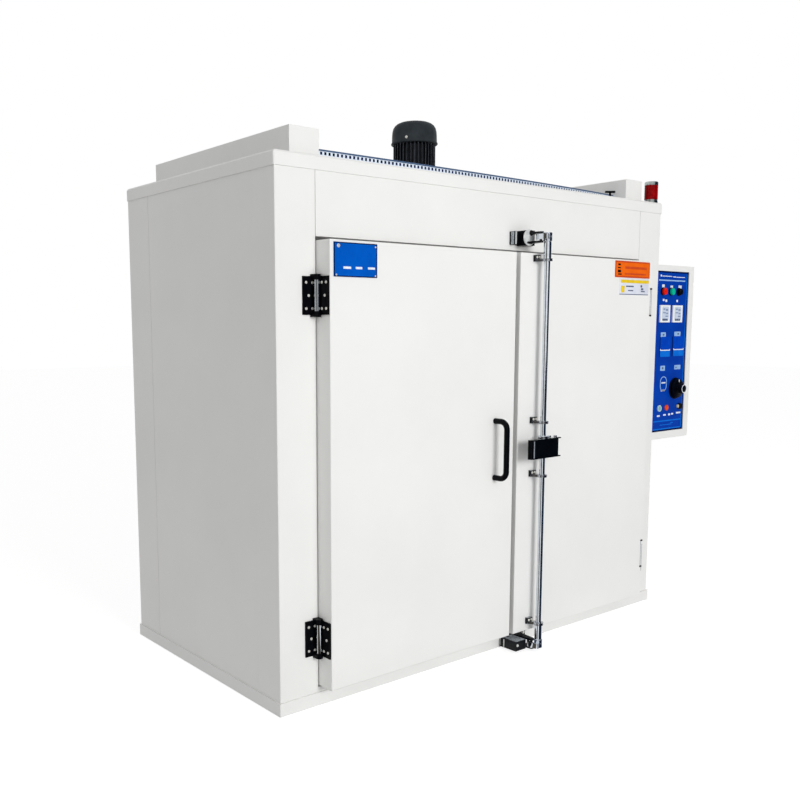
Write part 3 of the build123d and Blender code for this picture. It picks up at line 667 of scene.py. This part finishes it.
def addTrunking(values):
    low, high = corners("roof_trunking")
    bend = low.x, high.x, values["bend"], values["cuts"]
    wall = values["wall"]
    count = int((high.x - low.x) // values["pitch"])
    start = low.x + ((high.x - low.x) - count * values["pitch"]) / 2
    slotAt = low.z + values["slotLow"]
    slotTop = slotAt + values["slotTall"]
    lidAt = high.z - values["lid"]
    shape = bmesh.new()
    for front in (True, False):
        y = low.y + values["lidOver"] if front else high.y - values["lidOver"]
        inward = wall if front else -wall
        # each bay is a post beside a slot, between a low and a high band
        for z0, z1, solid in ((low.z, slotAt, True), (slotAt, slotTop, False), (slotTop, lidAt, True)):
            spans = [(low.x, high.x)]
            if not solid:
                half = (values["pitch"] - values["slotWide"]) / 2
                posts = [start + (bay + 1) * values["pitch"] for bay in range(count - 1)]
                spans = [(low.x, start + half)]
                spans += [(post - half, post + half) for post in posts]
                spans.append((start + count * values["pitch"] - half, high.x))
            for x0, x1 in spans:
                spots = [(x, yy, z) for x in (x0, x1) for yy in (y, y + inward) for z in (z0, z1)]
                verts = [shape.verts.new(Vector(spot) * 0.001) for spot in spots]
                for face in boxFaces:
                    shape.faces.new([verts[i] for i in face])
    place = facing((low.x, low.y + values["lidOver"], low.z), up=(0, 1, 0))
    deep = high.y - low.y - 2 * values["lidOver"]
    addBlock(shape, place, (0, 0, 0), (high.x - low.x, deep, wall), 0.3)
    bendBack(shape, *bend)
    putPiece("trunkingBody", shape, "cabinet", "trunking", stands=["roof_trunking"])

    # a dark navy block fills the duct: painted shade seen through the slots
    shape = bmesh.new()
    inset = values["inside"]
    place = facing((low.x + inset, low.y + inset, low.z + wall), up=(0, 1, 0))
    size = (high.x - low.x - 2 * inset, high.y - low.y - 2 * inset, lidAt - low.z - wall)
    addBlock(shape, place, (0, 0, 0), size, 1.0)
    bendBack(shape, *bend)
    putPiece("trunkingInsideShade", shape, "cabinet", "trunking", finish=finishes["navyPrintAndShade"])

    shape = bmesh.new()
    place = facing((low.x, low.y, lidAt), up=(0, 1, 0))
    addBlock(shape, place, (0, 0, 0), (high.x - low.x, high.y - low.y, values["lid"]), 1.6)
    bendBack(shape, *bend)
    putPiece("trunkingLid", shape, "cabinet", "trunking", finish=finishes["trunkingLid"])


addTrunking(trunkingValues)
print("trunking done")


# the damper's bar is turned so that its left end points to the back
damperValues = {"turn": -38, "bar": 52, "barRadius": 6, "stem": 5.5}


def addDamper(values):
    low, high = corners("damper_handle")
    middle = (low + high) / 2
    barAt = Vector((middle.x, middle.y, high.z - values["barRadius"]))
    reach = Vector((cos(radians(values["turn"])), sin(radians(values["turn"])), 0)) * values["bar"] / 2
    shape = bmesh.new()
    addTube(shape, [barAt - reach, barAt + reach], values["barRadius"])
    addTube(shape, [Vector((middle.x, middle.y, low.z)), barAt], values["stem"])
    putPiece("damperHandle", shape, "cabinet", "grip_black", stands=["damper_handle"])


addDamper(damperValues)
print("damper handle done")


def addMark(shape, place, middle, size, thick=0.6):
    # a flat patch, its corners a little rounded
    levels = [(0, 0), (0, thick * 0.6), (0.2, thick)]
    addPlate(shape, place, size[0], size[1], min(size) * 0.16, levels, middle)


def addMarks(shape, place, marks, thick=0.6):
    # marks are (across, up, width, height)
    for across, up, width, height in marks:
        addMark(shape, place, (across, up), (width, height), thick)


def addBand(shape, place, width, height, radius, wide, low, high, middle=(0, 0), steps=8):
    # a flat loop: a rim or a ring
    rings = []
    for inset, out in ((0, low), (0, high), (wide, high), (wide, low)):
        points = roundedOutline(width - 2 * inset, height - 2 * inset, max(radius - inset, 0.2), steps)
        rings.append(addRing(shape, place, points, out, middle))
    rings.append(rings[0])
    stackRings(shape, rings, closed=False)


def addScrew(shape, place, middle, radius, tall, lift=0.0):
    # a round head with a hexagonal socket
    levels = [
        (radius, lift), (radius, lift + tall * 0.5), (radius * 0.86, lift + tall * 0.86),
        (radius * 0.66, lift + tall), (radius * 0.5, lift + tall, 6), (radius * 0.46, lift + tall * 0.5, 6),
    ]
    addTurned(shape, place, levels, 24, middle)


def addHexHead(shape, place, middle, radius, tall, lift=0.0):
    # a washer and a hexagonal head
    levels = [
        (radius * 1.25, lift), (radius * 1.25, lift + tall * 0.22), (radius, lift + tall * 0.24, 6),
        (radius, lift + tall * 0.86, 6), (radius * 0.84, lift + tall), (radius * 0.3, lift + tall),
    ]
    addTurned(shape, place, levels, 24, middle)


# screws in the hinge leaves: rows are heights from a leaf's lower end,
# outer, inner and middle are distances from its outer edge
hingeValues = {
    "leaf": 148, "capTall": 8, "screw": 5.6, "tall": 2.8, "rows": (24, 74, 124),
    "outer": 15, "inner": 45, "middle": 27, "doorOuter": 13, "doorInner": 40, "doorMiddle": 22,
    # the dark stripes on the pins are painted reflection
    "reflectionStripeWide": 4.2, "reflectionStripeTall": 128, "reflectionStripeTurn": 36,
    "edges": ((1736, 1598), (389, 245)), "edgeX": 1049, "edgeWide": 3.6, "tipTo": 1063, "tipTall": 8,
}


def addHingeScrews(values):
    for side, sign in (("left", -1), ("right", 1)):
        low, high = corners(side + "_hinge_frame_leaves")
        outerEdge = high.x if sign > 0 else low.x
        cap = values["capTall"]
        bottoms = (low.z + cap, high.z - cap - values["leaf"])
        place = facing((0, high.y - 6, 0))
        shape = bmesh.new()
        for bottom in bottoms:
            for row in (0, 2):
                for inset in (values["outer"], values["inner"]):
                    middle = (outerEdge - sign * inset, bottom + values["rows"][row])
                    addScrew(shape, place, middle, values["screw"], values["tall"])
            middle = (outerEdge - sign * values["middle"], bottom + values["rows"][1])
            addScrew(shape, place, middle, values["screw"], values["tall"])
        putPiece(side + "FrameScrews", shape, "cabinet", "zinc", finish=finishes["screw"])

        low, high = corners(side + "_hinge_door_leaves")
        face = high.x if sign > 0 else low.x
        place = facing((face, 0, 0), across=(0, sign, 0))
        shape = bmesh.new()
        for bottom in bottoms:
            for row in (0, 2):
                for inset in (values["doorOuter"], values["doorInner"]):
                    middle = (sign * (low.y + inset), bottom + values["rows"][row])
                    addScrew(shape, place, middle, values["screw"], values["tall"])
            middle = (sign * (low.y + values["doorMiddle"]), bottom + values["rows"][1])
            addScrew(shape, place, middle, values["screw"], values["tall"])
        putPiece(side + "DoorScrews", shape, side + "_door", "zinc", finish=finishes["screw"])

        # a dark stripe down the front of each pin: painted dark reflection
        low, high = corners(side + "_hinge_pins")
        turn = radians(values["reflectionStripeTurn"])
        out = Vector((sign * sin(turn), -cos(turn), 0))
        radius = (high.y - low.y) / 2
        axis = Vector((low.x + radius if sign < 0 else high.x - radius, low.y + radius, 0))
        place = facing(axis + out * (radius - 0.6), across=(-out.y, out.x, 0))
        half, long = values["reflectionStripeWide"] / 2, values["reflectionStripeTall"]
        shape = bmesh.new()
        for bottom in bottoms:
            start = bottom + (values["leaf"] - long) / 2
            addBlock(shape, place, (-half, start, 0), (half, start + long, 1.0), 0.4)
        putPiece(side + "PinReflectionStripes", shape, side + "_door", "hinge_black")

    # the edge of each right hinge on the front of its door: a grey line of painted shade, black at both ends
    face = facing((0, corners("right_door_leaf")[0].y, 0))
    lines, tips = bmesh.new(), bmesh.new()
    left, right = values["edgeX"], values["edgeX"] + values["edgeWide"]
    for top, bottom in values["edges"]:
        addBlock(lines, face, (left, bottom, 0), (right, top, 1.2))
        for end in (bottom, top):
            height = end - values["tipTall"] / 2
            addBlock(tips, face, (left - 3, height, 0), (values["tipTo"], height + values["tipTall"], 2.2))
    putPiece("rightHingeEdgeShade", lines, "right_door", "hinge_black", finish=finishes["castGreyLightAndShade"])
    putPiece("rightHingeTips", tips, "right_door", "hinge_black")


addHingeScrews(hingeValues)
print("hinge screws done")


# the blue plate: a dark rim, four screws and three plain bars
plateValues = {
    "rim": 4.5,
    "screws": ((22, 14, 7.5), (207, 12, 3.6), (11, 124, 3.6), (207, 124, 3.6)),
    "bars": ((65, 96, 38, 9), (123, 95.5, 33, 9), (186, 95, 36, 8.5)),
}


def addBluePlate(values):
    low, high = corners("blank_plate")
    width, height = high.x - low.x, high.z - low.z
    middle = ((low.x + high.x) / 2, (low.z + high.z) / 2)
    place = facing((0, low.y, 0))
    shape = bmesh.new()
    addBand(shape, place, width, height, 3, values["rim"], 0, 0.7, middle)
    putPiece("plateRim", shape, "left_door", "blue_plate", finish=finishes["navyPrintAndShade"])
    shape = bmesh.new()
    inner = values["rim"] + 0.3
    addBand(shape, place, width - 2 * inner, height - 2 * inner, 2, 1.6, 0, 0.4, middle)
    putPiece("plateLine", shape, "left_door", "blue_plate", finish=finishes["azureInk"])
    shape = bmesh.new()
    for across, down, radius in values["screws"]:
        addScrew(shape, place, (low.x + across, high.z - down), radius, 2.4)
    putPiece("plateScrews", shape, "left_door", "zinc", finish=finishes["screw"])
    shape = bmesh.new()
    for across, down, wide, tall in values["bars"]:
        addMark(shape, place, (low.x + across, high.z - down), (wide, tall), 0.5)
    putPiece("plateBars", shape, "left_door", "blue_plate", finish=finishes["whitePrintAndHighlight"])


addBluePlate(plateValues)
print("blue plate done")


# an orange plate and a white card on the right door, both without words
cardValues = {
    "orange": (736, 1788, 1035, 1871),
    "rim": 8,
    "darkBars": ((770, 1852, 22, 9), (770, 1836, 26, 6), (771, 1819, 26, 14), (776, 1804, 30, 7)),
    "softBars": ((914, 1838, 188, 13), (909, 1807, 186, 9)),
    "white": (775, 1702, 1031, 1786),
    "yellow": (787, 1762, 1031, 1778),
    "line": (903, 1704.5, 248, 4),
    "greyBars": (
        (866, 1745, 66, 7), (874, 1724, 44, 6), (966, 1747, 14, 12), (974, 1733, 20, 10), (981, 1721, 34, 6),
    ),
    "panel": (806, 1730, 30, 34),
}


def between(box):
    # the middle and the size of a box given as left, low, right, high
    left, low, right, high = box
    return ((left + right) / 2, (low + high) / 2), (right - left, high - low)


def addCards(values):
    face = corners("right_door_leaf")[0].y
    place = facing((0, face, 0))
    shape = bmesh.new()
    middle, size = between(values["orange"])
    addPlate(shape, place, *size, 3, [(0, 0), (0, 1.4), (0.5, 1.8)], middle)
    putPiece("orangePlate", shape, "right_door", "button_red", finish=finishes["orangeInk"])
    shape = bmesh.new()
    addBand(shape, place, *size, 3, values["rim"], 1.8, 2.0, middle)
    putPiece("orangeRim", shape, "right_door", "button_red", finish=finishes["rustInk"])
    shape = bmesh.new()
    addMarks(shape, place, values["darkBars"], 2.2)
    putPiece("orangeDarkBars", shape, "right_door", "button_black", finish=finishes["darkPrintAndShade"])
    shape = bmesh.new()
    addMarks(shape, place, values["softBars"], 2.2)
    putPiece("orangeSoftBars", shape, "right_door", "button_red", finish=finishes["rustInk"])

    shape = bmesh.new()
    middle, size = between(values["white"])
    addPlate(shape, place, *size, 4, [(0, 0), (0, 0.6), (0.3, 0.8)], middle)
    putPiece("whiteCard", shape, "right_door", "controller", finish=finishes["cardWhite"])
    shape = bmesh.new()
    middle, size = between(values["yellow"])
    addMark(shape, place, middle, size, 1.3)
    addMark(shape, place, values["panel"][:2], values["panel"][2:], 1.3)
    putPiece("cardYellow", shape, "right_door", "controller", finish=finishes["yellowInk"])
    shape = bmesh.new()
    addMarks(shape, place, [values["line"], *values["greyBars"]], 1.3)
    putPiece("cardBars", shape, "right_door", "controller", finish=finishes["slateInk"])


addCards(cardValues)
print("plates on the right door done")


# what is printed on the control panel: only lines, frames and plain patches
panelValues = {
    "rim": 9,
    "azureLine": (1626, 1396, 5, 880),
    "pale": (
        (1368, 1822, 12, 11), (1428, 1820, 96, 4), (1500, 1818, 30, 5), (1562, 1817, 84, 4),
        (1392, 1765, 24, 17), (1475, 1761, 24, 17), (1559, 1763, 32, 17),
        (1400, 1688, 16, 12), (1426, 1684, 18, 14), (1535, 1684, 16, 13),
    ),
    "icons": ((1411, 1494, 50, 27), (1552, 1498, 62, 26), (1417, 1305, 46, 29), (1566, 1307, 62, 25)),
    "iconDots": ((1413, 1494, 16, 10), (1560, 1498, 14, 10), (1417, 1305, 15, 12), (1552, 1306, 12, 9)),
    "lines": ((1478, 1797, 264, 7),),
    "softLines": ((1482, 1003, 276, 7), (1482, 957, 276, 7), (1530, 988, 30, 5), (1470, 980, 120, 4)),
    "windowUpper": ((1435, 1446, 98, 74), (1569, 1448, 104, 74)),
    "windowBars": ((1435, 1409, 98, 11), (1569, 1411, 104, 11)),
    "windowLower": ((1435, 1386, 98, 33), (1569, 1388, 104, 33)),
    "windowEdges": ((1382, 1430, 5, 124), (1507, 1427, 7, 112)),
    "oval": (1431, 1216, 66, 84),
    "ovalBars": ((1431, 1222, 40, 8), (1428, 1178, 40, 9)),
    "dashes": (
        (1394, 1034, 28, 9), (1456, 1037, 26, 9), (1502, 1037, 20, 11), (1533, 1039, 20, 10),
        (1595, 1042, 46, 10),
    ),
}


def addPanelPrint(values):
    low, high = corners("control_panel")
    place = facing((0, low.y, 0))
    middle = ((low.x + high.x) / 2, (low.z + high.z) / 2)
    shape = bmesh.new()
    addBand(shape, place, high.x - low.x, high.z - low.z, 2, values["rim"], 0, 0.5, middle)
    addMarks(shape, place, values["windowEdges"])
    putPiece("panelRim", shape, "cabinet", "blue_panel", finish=finishes["navyPrintAndShade"])

    shape = bmesh.new()
    addMarks(shape, place, values["pale"] + values["windowBars"] + values["dashes"] + values["ovalBars"])
    putPiece("panelPale", shape, "cabinet", "blue_panel", finish=finishes["whitePrintAndHighlight"])

    shape = bmesh.new()
    addMarks(shape, place, values["icons"] + values["lines"])
    across, up, wide, tall = values["oval"]
    addBand(shape, place, wide, tall, 30, 5, 0, 0.6, (across, up))
    putPiece("panelIcons", shape, "cabinet", "blue_panel", finish=finishes["skyInk"])
    shape = bmesh.new()
    addMarks(shape, place, values["iconDots"], 0.9)
    putPiece("panelDots", shape, "cabinet", "blue_panel", finish=finishes["slateInk"])

    shape = bmesh.new()
    addMarks(shape, place, values["windowLower"] + values["softLines"] + (values["azureLine"],))
    putPiece("panelAzure", shape, "cabinet", "blue_panel", finish=finishes["azureInk"])
    shape = bmesh.new()
    addMarks(shape, place, values["windowUpper"], 0.8)
    putPiece("panelWindows", shape, "cabinet", "blue_panel", finish=finishes["windowInk"])


addPanelPrint(panelValues)
print("panel print done")


# displays of the two controllers, placed from each controller's middle
controllerValues = {
    "size": 96,
    "glass": (1, 3, 66, 74),
    "rows": ((-12, 26, 20, 9), (14, 22, 22, 12), (-10, 6, 26, 7), (16, 2, 20, 9), (14, -14, 26, 8)),
    "keys": ((-20, -33, 15, 12), (-2, -33, 15, 12), (16, -33, 15, 12)),
}


def addDisplays(values):
    low, high = corners("temperature_controllers")
    place = facing((0, low.y, 0))
    middles = (low.x + values["size"] / 2, high.x - values["size"] / 2)
    up = (low.z + high.z) / 2
    groups = (
        ("displayGlass", (values["glass"],), "displayInk", 0.7),
        ("displayRows", values["rows"], "displayDigits", 1.0),
        ("displayKeys", values["keys"], "slateInk", 1.6),
    )
    for name, marks, ink, thick in groups:
        shape = bmesh.new()
        for middle in middles:
            addMarks(shape, place, [(middle + x, up + z, wide, tall) for x, z, wide, tall in marks], thick)
        putPiece(name, shape, "cabinet", "controller", finish=finishes[ink])


addDisplays(controllerValues)
print("controller displays done")


buttonValues = {
    "collar": [(22.5, 0), (22.5, 6), (21.2, 8), (19.6, 8)],
    "cap": [(18.6, 4), (19.4, 6), (19.4, 16.5), (18.4, 19), (16.6, 19.9), (14.4, 19.3), (5, 18.6)],
    "lens": [(15, 2), (15, 6), (12, 7.6), (4, 8)],
    "orange": [(16.5, 0), (16.5, 5), (14, 7.4), (5, 8)],
    "key": (1600, 1080),
    "keyBody": [(18, 0), (18, 9), (16.5, 11), (6, 11)],
    "keyBow": (1577, 1081, 13, 18),
}


def addButtons(values):
    face = corners("control_panel")[0].y
    place = facing((0, face, 0))
    collars = bmesh.new()
    for colour in ("red", "green", "black"):
        low, high = corners(colour + "_button")
        middle = ((low.x + high.x) / 2, (low.z + high.z) / 2)
        addTurned(collars, place, values["collar"], 40, middle)
        shape = bmesh.new()
        addTurned(shape, place, values["cap"], 40, middle)
        putPiece(colour + "Cap", shape, "cabinet", "button_" + colour, stands=[colour + "_button"])
    putPiece("buttonCollars", collars, "cabinet", "button_black")

    low, high = corners("pilot_buttons")
    up = (low.z + high.z) / 2
    left = (low.x + 16, up)
    orange = (low.x + 89, up)
    shape = bmesh.new()
    addBand(shape, place, 36, 36, 18, 4.5, 0, 7, left, 10)
    putPiece("pilotRing", shape, "cabinet", "pilot", stands=["pilot_buttons"])
    shape = bmesh.new()
    addTurned(shape, place, values["lens"], 32, left)
    putPiece("pilotLens", shape, "cabinet", "pilot", finish=finishes["pilotDark"])
    shape = bmesh.new()
    addTurned(shape, place, values["orange"], 32, orange)
    putPiece("orangeLens", shape, "cabinet", "button_red", finish=finishes["orangeLamp"])
    shape = bmesh.new()
    addTurned(shape, place, values["keyBody"], 32, values["key"])
    putPiece("keySwitch", shape, "cabinet", "button_black")
    shape = bmesh.new()
    across, up, wide, tall = values["keyBow"]
    addPlate(shape, place, wide, tall, 5, [(0, 2), (0, 10), (1, 11)], (across, up))
    putPiece("keyBow", shape, "cabinet", "controller", finish=finishes["keyBeige"])


addButtons(buttonValues)
print("buttons and pilots done")


switchValues = {
    "ring": [(62, 0), (62, 3.2), (60.6, 5.4), (57, 6), (9, 6)],
    "drum": [
        (8.6, 6.05), (8.6, 6.6), (50, 6.6), (54, 8.5), (54, 21), (52.6, 24.8), (49.5, 26.5),
        (31, 26.5), (28, 27.6), (27, 30), (27, 54.5), (25.8, 58), (22.5, 60), (6, 60),
    ],
    "pointer": (0, 44, 7, 14),
    "endHighlightRing": (49, 4.2),
    "ribs": 24,
}


def addMainSwitch(values):
    low, high = corners("main_switch_plate")
    middle = ((low.x + high.x) / 2, (low.z + high.z) / 2)
    place = facing((0, high.y, 0))
    shape = bmesh.new()
    addTurned(shape, place, values["ring"], 64, middle)
    putPiece("switchRing", shape, "cabinet", "switch_black", stands=["main_switch_plate"])

    shape = bmesh.new()
    addTurned(shape, place, values["drum"], 64, middle)
    for rib in range(values["ribs"]):
        turn = tau * rib / values["ribs"]
        out = Vector((cos(turn), 0, sin(turn)))
        side = Vector((-sin(turn), 0, cos(turn)))
        origin = Vector((middle[0], high.y, middle[1])) + out * 26.7
        ribPlace = facing(origin, across=side, up=(0, -1, 0))
        addBlock(shape, ribPlace, (-1.0, 31, -0.8), (1.0, 53, 0.8), 0.3)
    putPiece("switchKnob", shape, "main_switch", "switch_black", stands=["main_switch_knob"])

    shape = bmesh.new()
    across, up, wide, tall = values["pointer"]
    tip = (middle[0] + across, middle[1] + up)
    addPlate(shape, place, wide, tall, 2, [(0, 26), (0, 27), (0.3, 27.4)], tip)
    # a white ring on the grip's end: painted highlight
    wide, thick = values["endHighlightRing"]
    addBand(shape, place, wide, wide, wide / 2, thick, 59.6, 60.3, middle, 12)
    putPiece("switchPointerAndHighlight", shape, "main_switch", "switch_black", finish=finishes["whitePrintAndHighlight"])


addMainSwitch(switchValues)
print("main switch done")


lampValues = {
    "base": [(30, 0), (35.4, 1), (35.4, 12.5), (33.5, 14.5), (33.5, 18)],
    "ribs": 9,
    "lensRadius": 35.3,
    "cap": [(35.4, 0), (35.4, 14), (33.4, 17.6), (29, 19.6), (22, 20), (5, 20)],
}


def addLamp(values):
    low, high = corners("lamp_base")
    middle = ((low.x + high.x) / 2, (low.y + high.y) / 2)
    shape = bmesh.new()
    addTurned(shape, facing((0, 0, low.z), up=(0, 1, 0)), values["base"], 56, middle)
    putPiece("lampFoot", shape, "cabinet", "lamp_metal", stands=["lamp_base"])
    low, high = corners("lamp_lens")
    pitch = (high.z - low.z) / values["ribs"]
    out = values["lensRadius"]
    levels = []
    for rib in range(values["ribs"]):
        levels += [(out - 1.1, rib * pitch), (out, (rib + 0.3) * pitch), (out, (rib + 0.7) * pitch)]
    levels.append((out - 1.1, high.z - low.z))
    shape = bmesh.new()
    addTurned(shape, facing((0, 0, low.z), up=(0, 1, 0)), levels, 56, middle)
    putPiece("lampLens", shape, "cabinet", "lamp_red", stands=["lamp_lens"])
    low, high = corners("lamp_cap")
    shape = bmesh.new()
    addTurned(shape, facing((0, 0, low.z), up=(0, 1, 0)), values["cap"], 56, middle)
    putPiece("lampTop", shape, "cabinet", "lamp_metal", stands=["lamp_cap"])


addLamp(lampValues)
print("signal lamp done")


# castings, bolts and the grip's fittings of the rod lock
lockValues = {
    "castingDeep": 65,
    "plateThick": 8,
    "boss": [(37, 0), (37, 4), (34.5, 6.5), (12, 6.5)],
    "bossLeft": 46,
    "hole": (9, 21, 13),
    "slot": (0, -23, 36, 11),
    "rib": (34, 1.5, 9, 5),
    "ribSide": (10, 27),
    "plateBolt": 7.5,
    "boltRight": 34,
    "boltRise": {"top": 18, "bottom": 13},
    "bottomBody": (130, 106, 22.5),
    "cover": (38, 46, 62, 84),
    "sideBars": ((72, 5), (98, 3)),
    "frontBolt": (12, 5, 5.5),
    "guides": (846, 1099),
    "footLeft": 21,
    "footThick": 15,
    "footDarkReflection": (17, 11, 1.0),
    "footBolts": (9, 14, 6.12),
    "gripCollar": [(21, 0), (23, 1.2), (23, 7), (21, 9), (14, 9)],
    "gripBolts": ((30, -12), (58, -24)),
    "gripBolt": 8.5,
    "gripHighlight": (14.5, 6, 6),
    "hubScrew": 5.0,
}


def addLockDetails(values):
    rodLow, rodHigh = corners("lock_rod")
    rodX, rodY = (rodLow.x + rodHigh.x) / 2, (rodLow.y + rodHigh.y) / 2

    low, high = corners("top_keeper")
    centre = (low.z + high.z) / 2
    middle = (rodX - values["bossLeft"], centre)
    bodyFace = facing((0, high.y - values["castingDeep"], 0))
    # the boss in the pale tone: painted highlight
    shape = bmesh.new()
    addTurned(shape, bodyFace, values["boss"], 48, middle)
    putPiece("keeperBoss", shape, "cabinet", "zinc", finish=finishes["castPaleReflection"])
    # a dark dish and a dark slot, raised a little on the body's front: painted shade of a hole and a slot
    shape = bmesh.new()
    x, z, radius = values["hole"]
    dish = [(radius, 6), (radius, 7.2), (radius - 3, 6.9), (2, 6.8)]
    addTurned(shape, bodyFace, dish, 28, (middle[0] + x, centre + z))
    x, z, wide, tall = values["slot"]
    addPlate(shape, bodyFace, wide, tall, 5, [(0, 6), (0, 7), (0.4, 7.3)], (middle[0] + x, centre + z))
    putPiece("keeperHoleShade", shape, "cabinet", "zinc", finish=finishes["darkPrintAndShade"])

    # a pale bar on the top keeper's plate: painted highlight
    shape = bmesh.new()
    deep, left, wide, short = values["rib"]
    rib = facing((0, high.y - deep, 0))
    addBlock(shape, rib, (low.x + left, low.z + short, 0), (low.x + left + wide, high.z - short, 0.8))
    putPiece("keeperHighlightBars", shape, "cabinet", "zinc", finish=finishes["castPaleReflection"])
    # a grey bar on the top keeper's side face: painted light
    side = facing((low.x, 0, 0), across=(0, -1, 0))
    near, far = values["ribSide"]
    shape = bmesh.new()
    addBlock(shape, side, (-high.y + near, low.z + short, 0), (-high.y + far, high.z - short, 0.8))
    putPiece("keeperLitSideBar", shape, "cabinet", "zinc", finish=finishes["castGreyLightAndShade"])
    shape = bmesh.new()
    for end, rise in values["boltRise"].items():
        low, high = corners(end + "_keeper")
        centre = (low.z + high.z) / 2
        plate = facing((0, high.y - values["plateThick"], 0))
        for z in (rise, -rise):
            addHexHead(shape, plate, (rodX + values["boltRight"], centre + z), values["plateBolt"], 6)
    putPiece("keeperBolts", shape, "cabinet", "zinc", finish=finishes["screw"])

    bodyLeft, bodyFront = rodX - values["bottomBody"][0], high.y - values["bottomBody"][1]
    # a grey plate on the bottom keeper's top: painted light on its top face
    shape = bmesh.new()
    top = facing((0, 0, centre + values["bottomBody"][2]), up=(0, 1, 0))
    across, along, wide, deep = values["cover"]
    addPlate(shape, top, wide, deep, 4, [(0, 0), (0, 1.2), (0.8, 2)], (bodyLeft + across, bodyFront + along))
    putPiece("keeperLitTop", shape, "cabinet", "zinc", finish=finishes["castGreyLightAndShade"])
    # pale bars on the bottom keeper's side and a pale bolt on its front: painted highlights
    shape = bmesh.new()
    side = facing((bodyLeft, 0, centre), across=(0, -1, 0))
    for back, wide in values["sideBars"]:
        addBlock(shape, side, (-bodyFront - back - wide, -19, 0), (-bodyFront - back, 19, 1.5))
    x, z, radius = values["frontBolt"]
    addHexHead(shape, facing((0, bodyFront, 0)), (bodyLeft + x, centre + z), radius, 4)
    putPiece("bottomKeeperHighlights", shape, "cabinet", "zinc", finish=finishes["castPaleReflection"])

    # each guide's foot has two bolts in front and one bolt on top; dark blocks on its front and side are
    # painted dark reflection
    low, high = corners("rod_guides")
    doorFace = high.y
    heights = (low.z + 6, *values["guides"], high.z - 24)
    footX = rodX - values["footLeft"]
    foot = facing((0, doorFace - values["footThick"], 0))
    apart, rise, radius = values["footBolts"]
    half, tall, out = values["footDarkReflection"]
    side = facing((footX - half, 0, 0), across=(0, -1, 0))
    bolts, darkReflections = bmesh.new(), bmesh.new()
    for height in heights:
        for x in (-apart, apart):
            addScrew(bolts, foot, (footX + x, height + rise), radius, 4)
        addScrew(bolts, facing((0, 0, height + 6), up=(0, 1, 0)), (rodX - 10, rodY + 26), 5.5, 3)
        top = height + 13 + tall
        addBlock(darkReflections, foot, (footX - half, height + 7, 0), (footX + half, top, out))
        addBlock(darkReflections, side, (-doorFace + 1, height - 6, 0), (-doorFace + 14, top, out))
    putPiece("guideBolts", bolts, "right_door", "zinc", finish=finishes["screw"])
    putPiece("footDarkReflections", darkReflections, "right_door", "zinc", finish=finishes["castDarkReflection"])

    low, high = corners("lock_grip")
    top = facing((0, 0, high.z), up=(0, 1, 0))
    shape = bmesh.new()
    addTurned(shape, top, values["gripCollar"], 40, (rodX, rodY))
    for x, y in values["gripBolts"]:
        addHexHead(shape, top, (rodX + x, rodY + y), values["gripBolt"], 8)
    putPiece("gripFittings", shape, "lock_rod", "chrome")
    # a light grey strip near the grip's left end: painted highlight
    shape = bmesh.new()
    inset, wide, short = values["gripHighlight"]
    edge = (low.x + inset, low.z + short, 0), (low.x + inset + wide, high.z - short, 1.0)
    addBlock(shape, facing((0, low.y, 0)), *edge)
    putPiece("gripHighlight", shape, "lock_rod", "grip_black", finish=finishes["gripHighlight"])

    shape = bmesh.new()
    for node in ("top_hook", "bottom_hook"):
        low, high = corners(node)
        middle = (rodX, (low.z + high.z) / 2)
        addScrew(shape, facing((0, rodY - 19.6, 0)), middle, values["hubScrew"], 1.6)
        for height in (low.z, high.z):
            up = 1 if height == high.z else -1
            end = facing((rodX, rodY, height), across=(1, 0, 0), up=(0, up, 0))
            addTurned(shape, end, [(19.6, -1.2), (19.6, 0), (18.2, 1.4), (14.2, 1.6)], 40)
    putPiece("hubFittings", shape, "lock_rod", "chrome")


addLockDetails(lockValues)
print("rod lock details done")


# one screw in the fan cover, and the cover of the terminal box
coverValues = {
    "screwTurn": 207, "screwHeight": 21, "screw": 6.5,
    "lidThick": 4, "lidInset": 3, "screwInset": 9,
}


def addMotorDetails(values):
    low, high = corners("fan_cowl")
    centre = Vector(((low.x + high.x) / 2, (low.y + high.y) / 2, low.z + values["screwHeight"]))
    turn = radians(values["screwTurn"])
    out = Vector((cos(turn), sin(turn), 0))
    place = facing(centre + out * 112.2, across=(-sin(turn), cos(turn), 0))
    shape = bmesh.new()
    addScrew(shape, place, (0, 0), values["screw"], 3)
    low, high = corners("motor_terminal_box")
    lid = facing(((low.x + high.x) / 2, high.y, (low.z + high.z) / 2), across=(-1, 0, 0))
    reach = (high.x - low.x) / 2 - values["screwInset"]
    rise = (high.z - low.z) / 2 - values["screwInset"]
    for x in (-reach, reach):
        for z in (-rise, rise):
            addScrew(shape, lid, (x, z), 3.6, 2.2, values["lidThick"])
    putPiece("motorScrews", shape, "cabinet", "zinc", finish=finishes["screw"])
    shape = bmesh.new()
    inset = values["lidInset"]
    width, height = high.x - low.x - 2 * inset, high.z - low.z - 2 * inset
    thick = values["lidThick"]
    addPlate(shape, lid, width, height, 6, [(0, 0), (0, thick - 1.2), (1.2, thick)])
    putPiece("terminalLid", shape, "cabinet", "cowl_black")


addMotorDetails(coverValues)
print("motor details done")
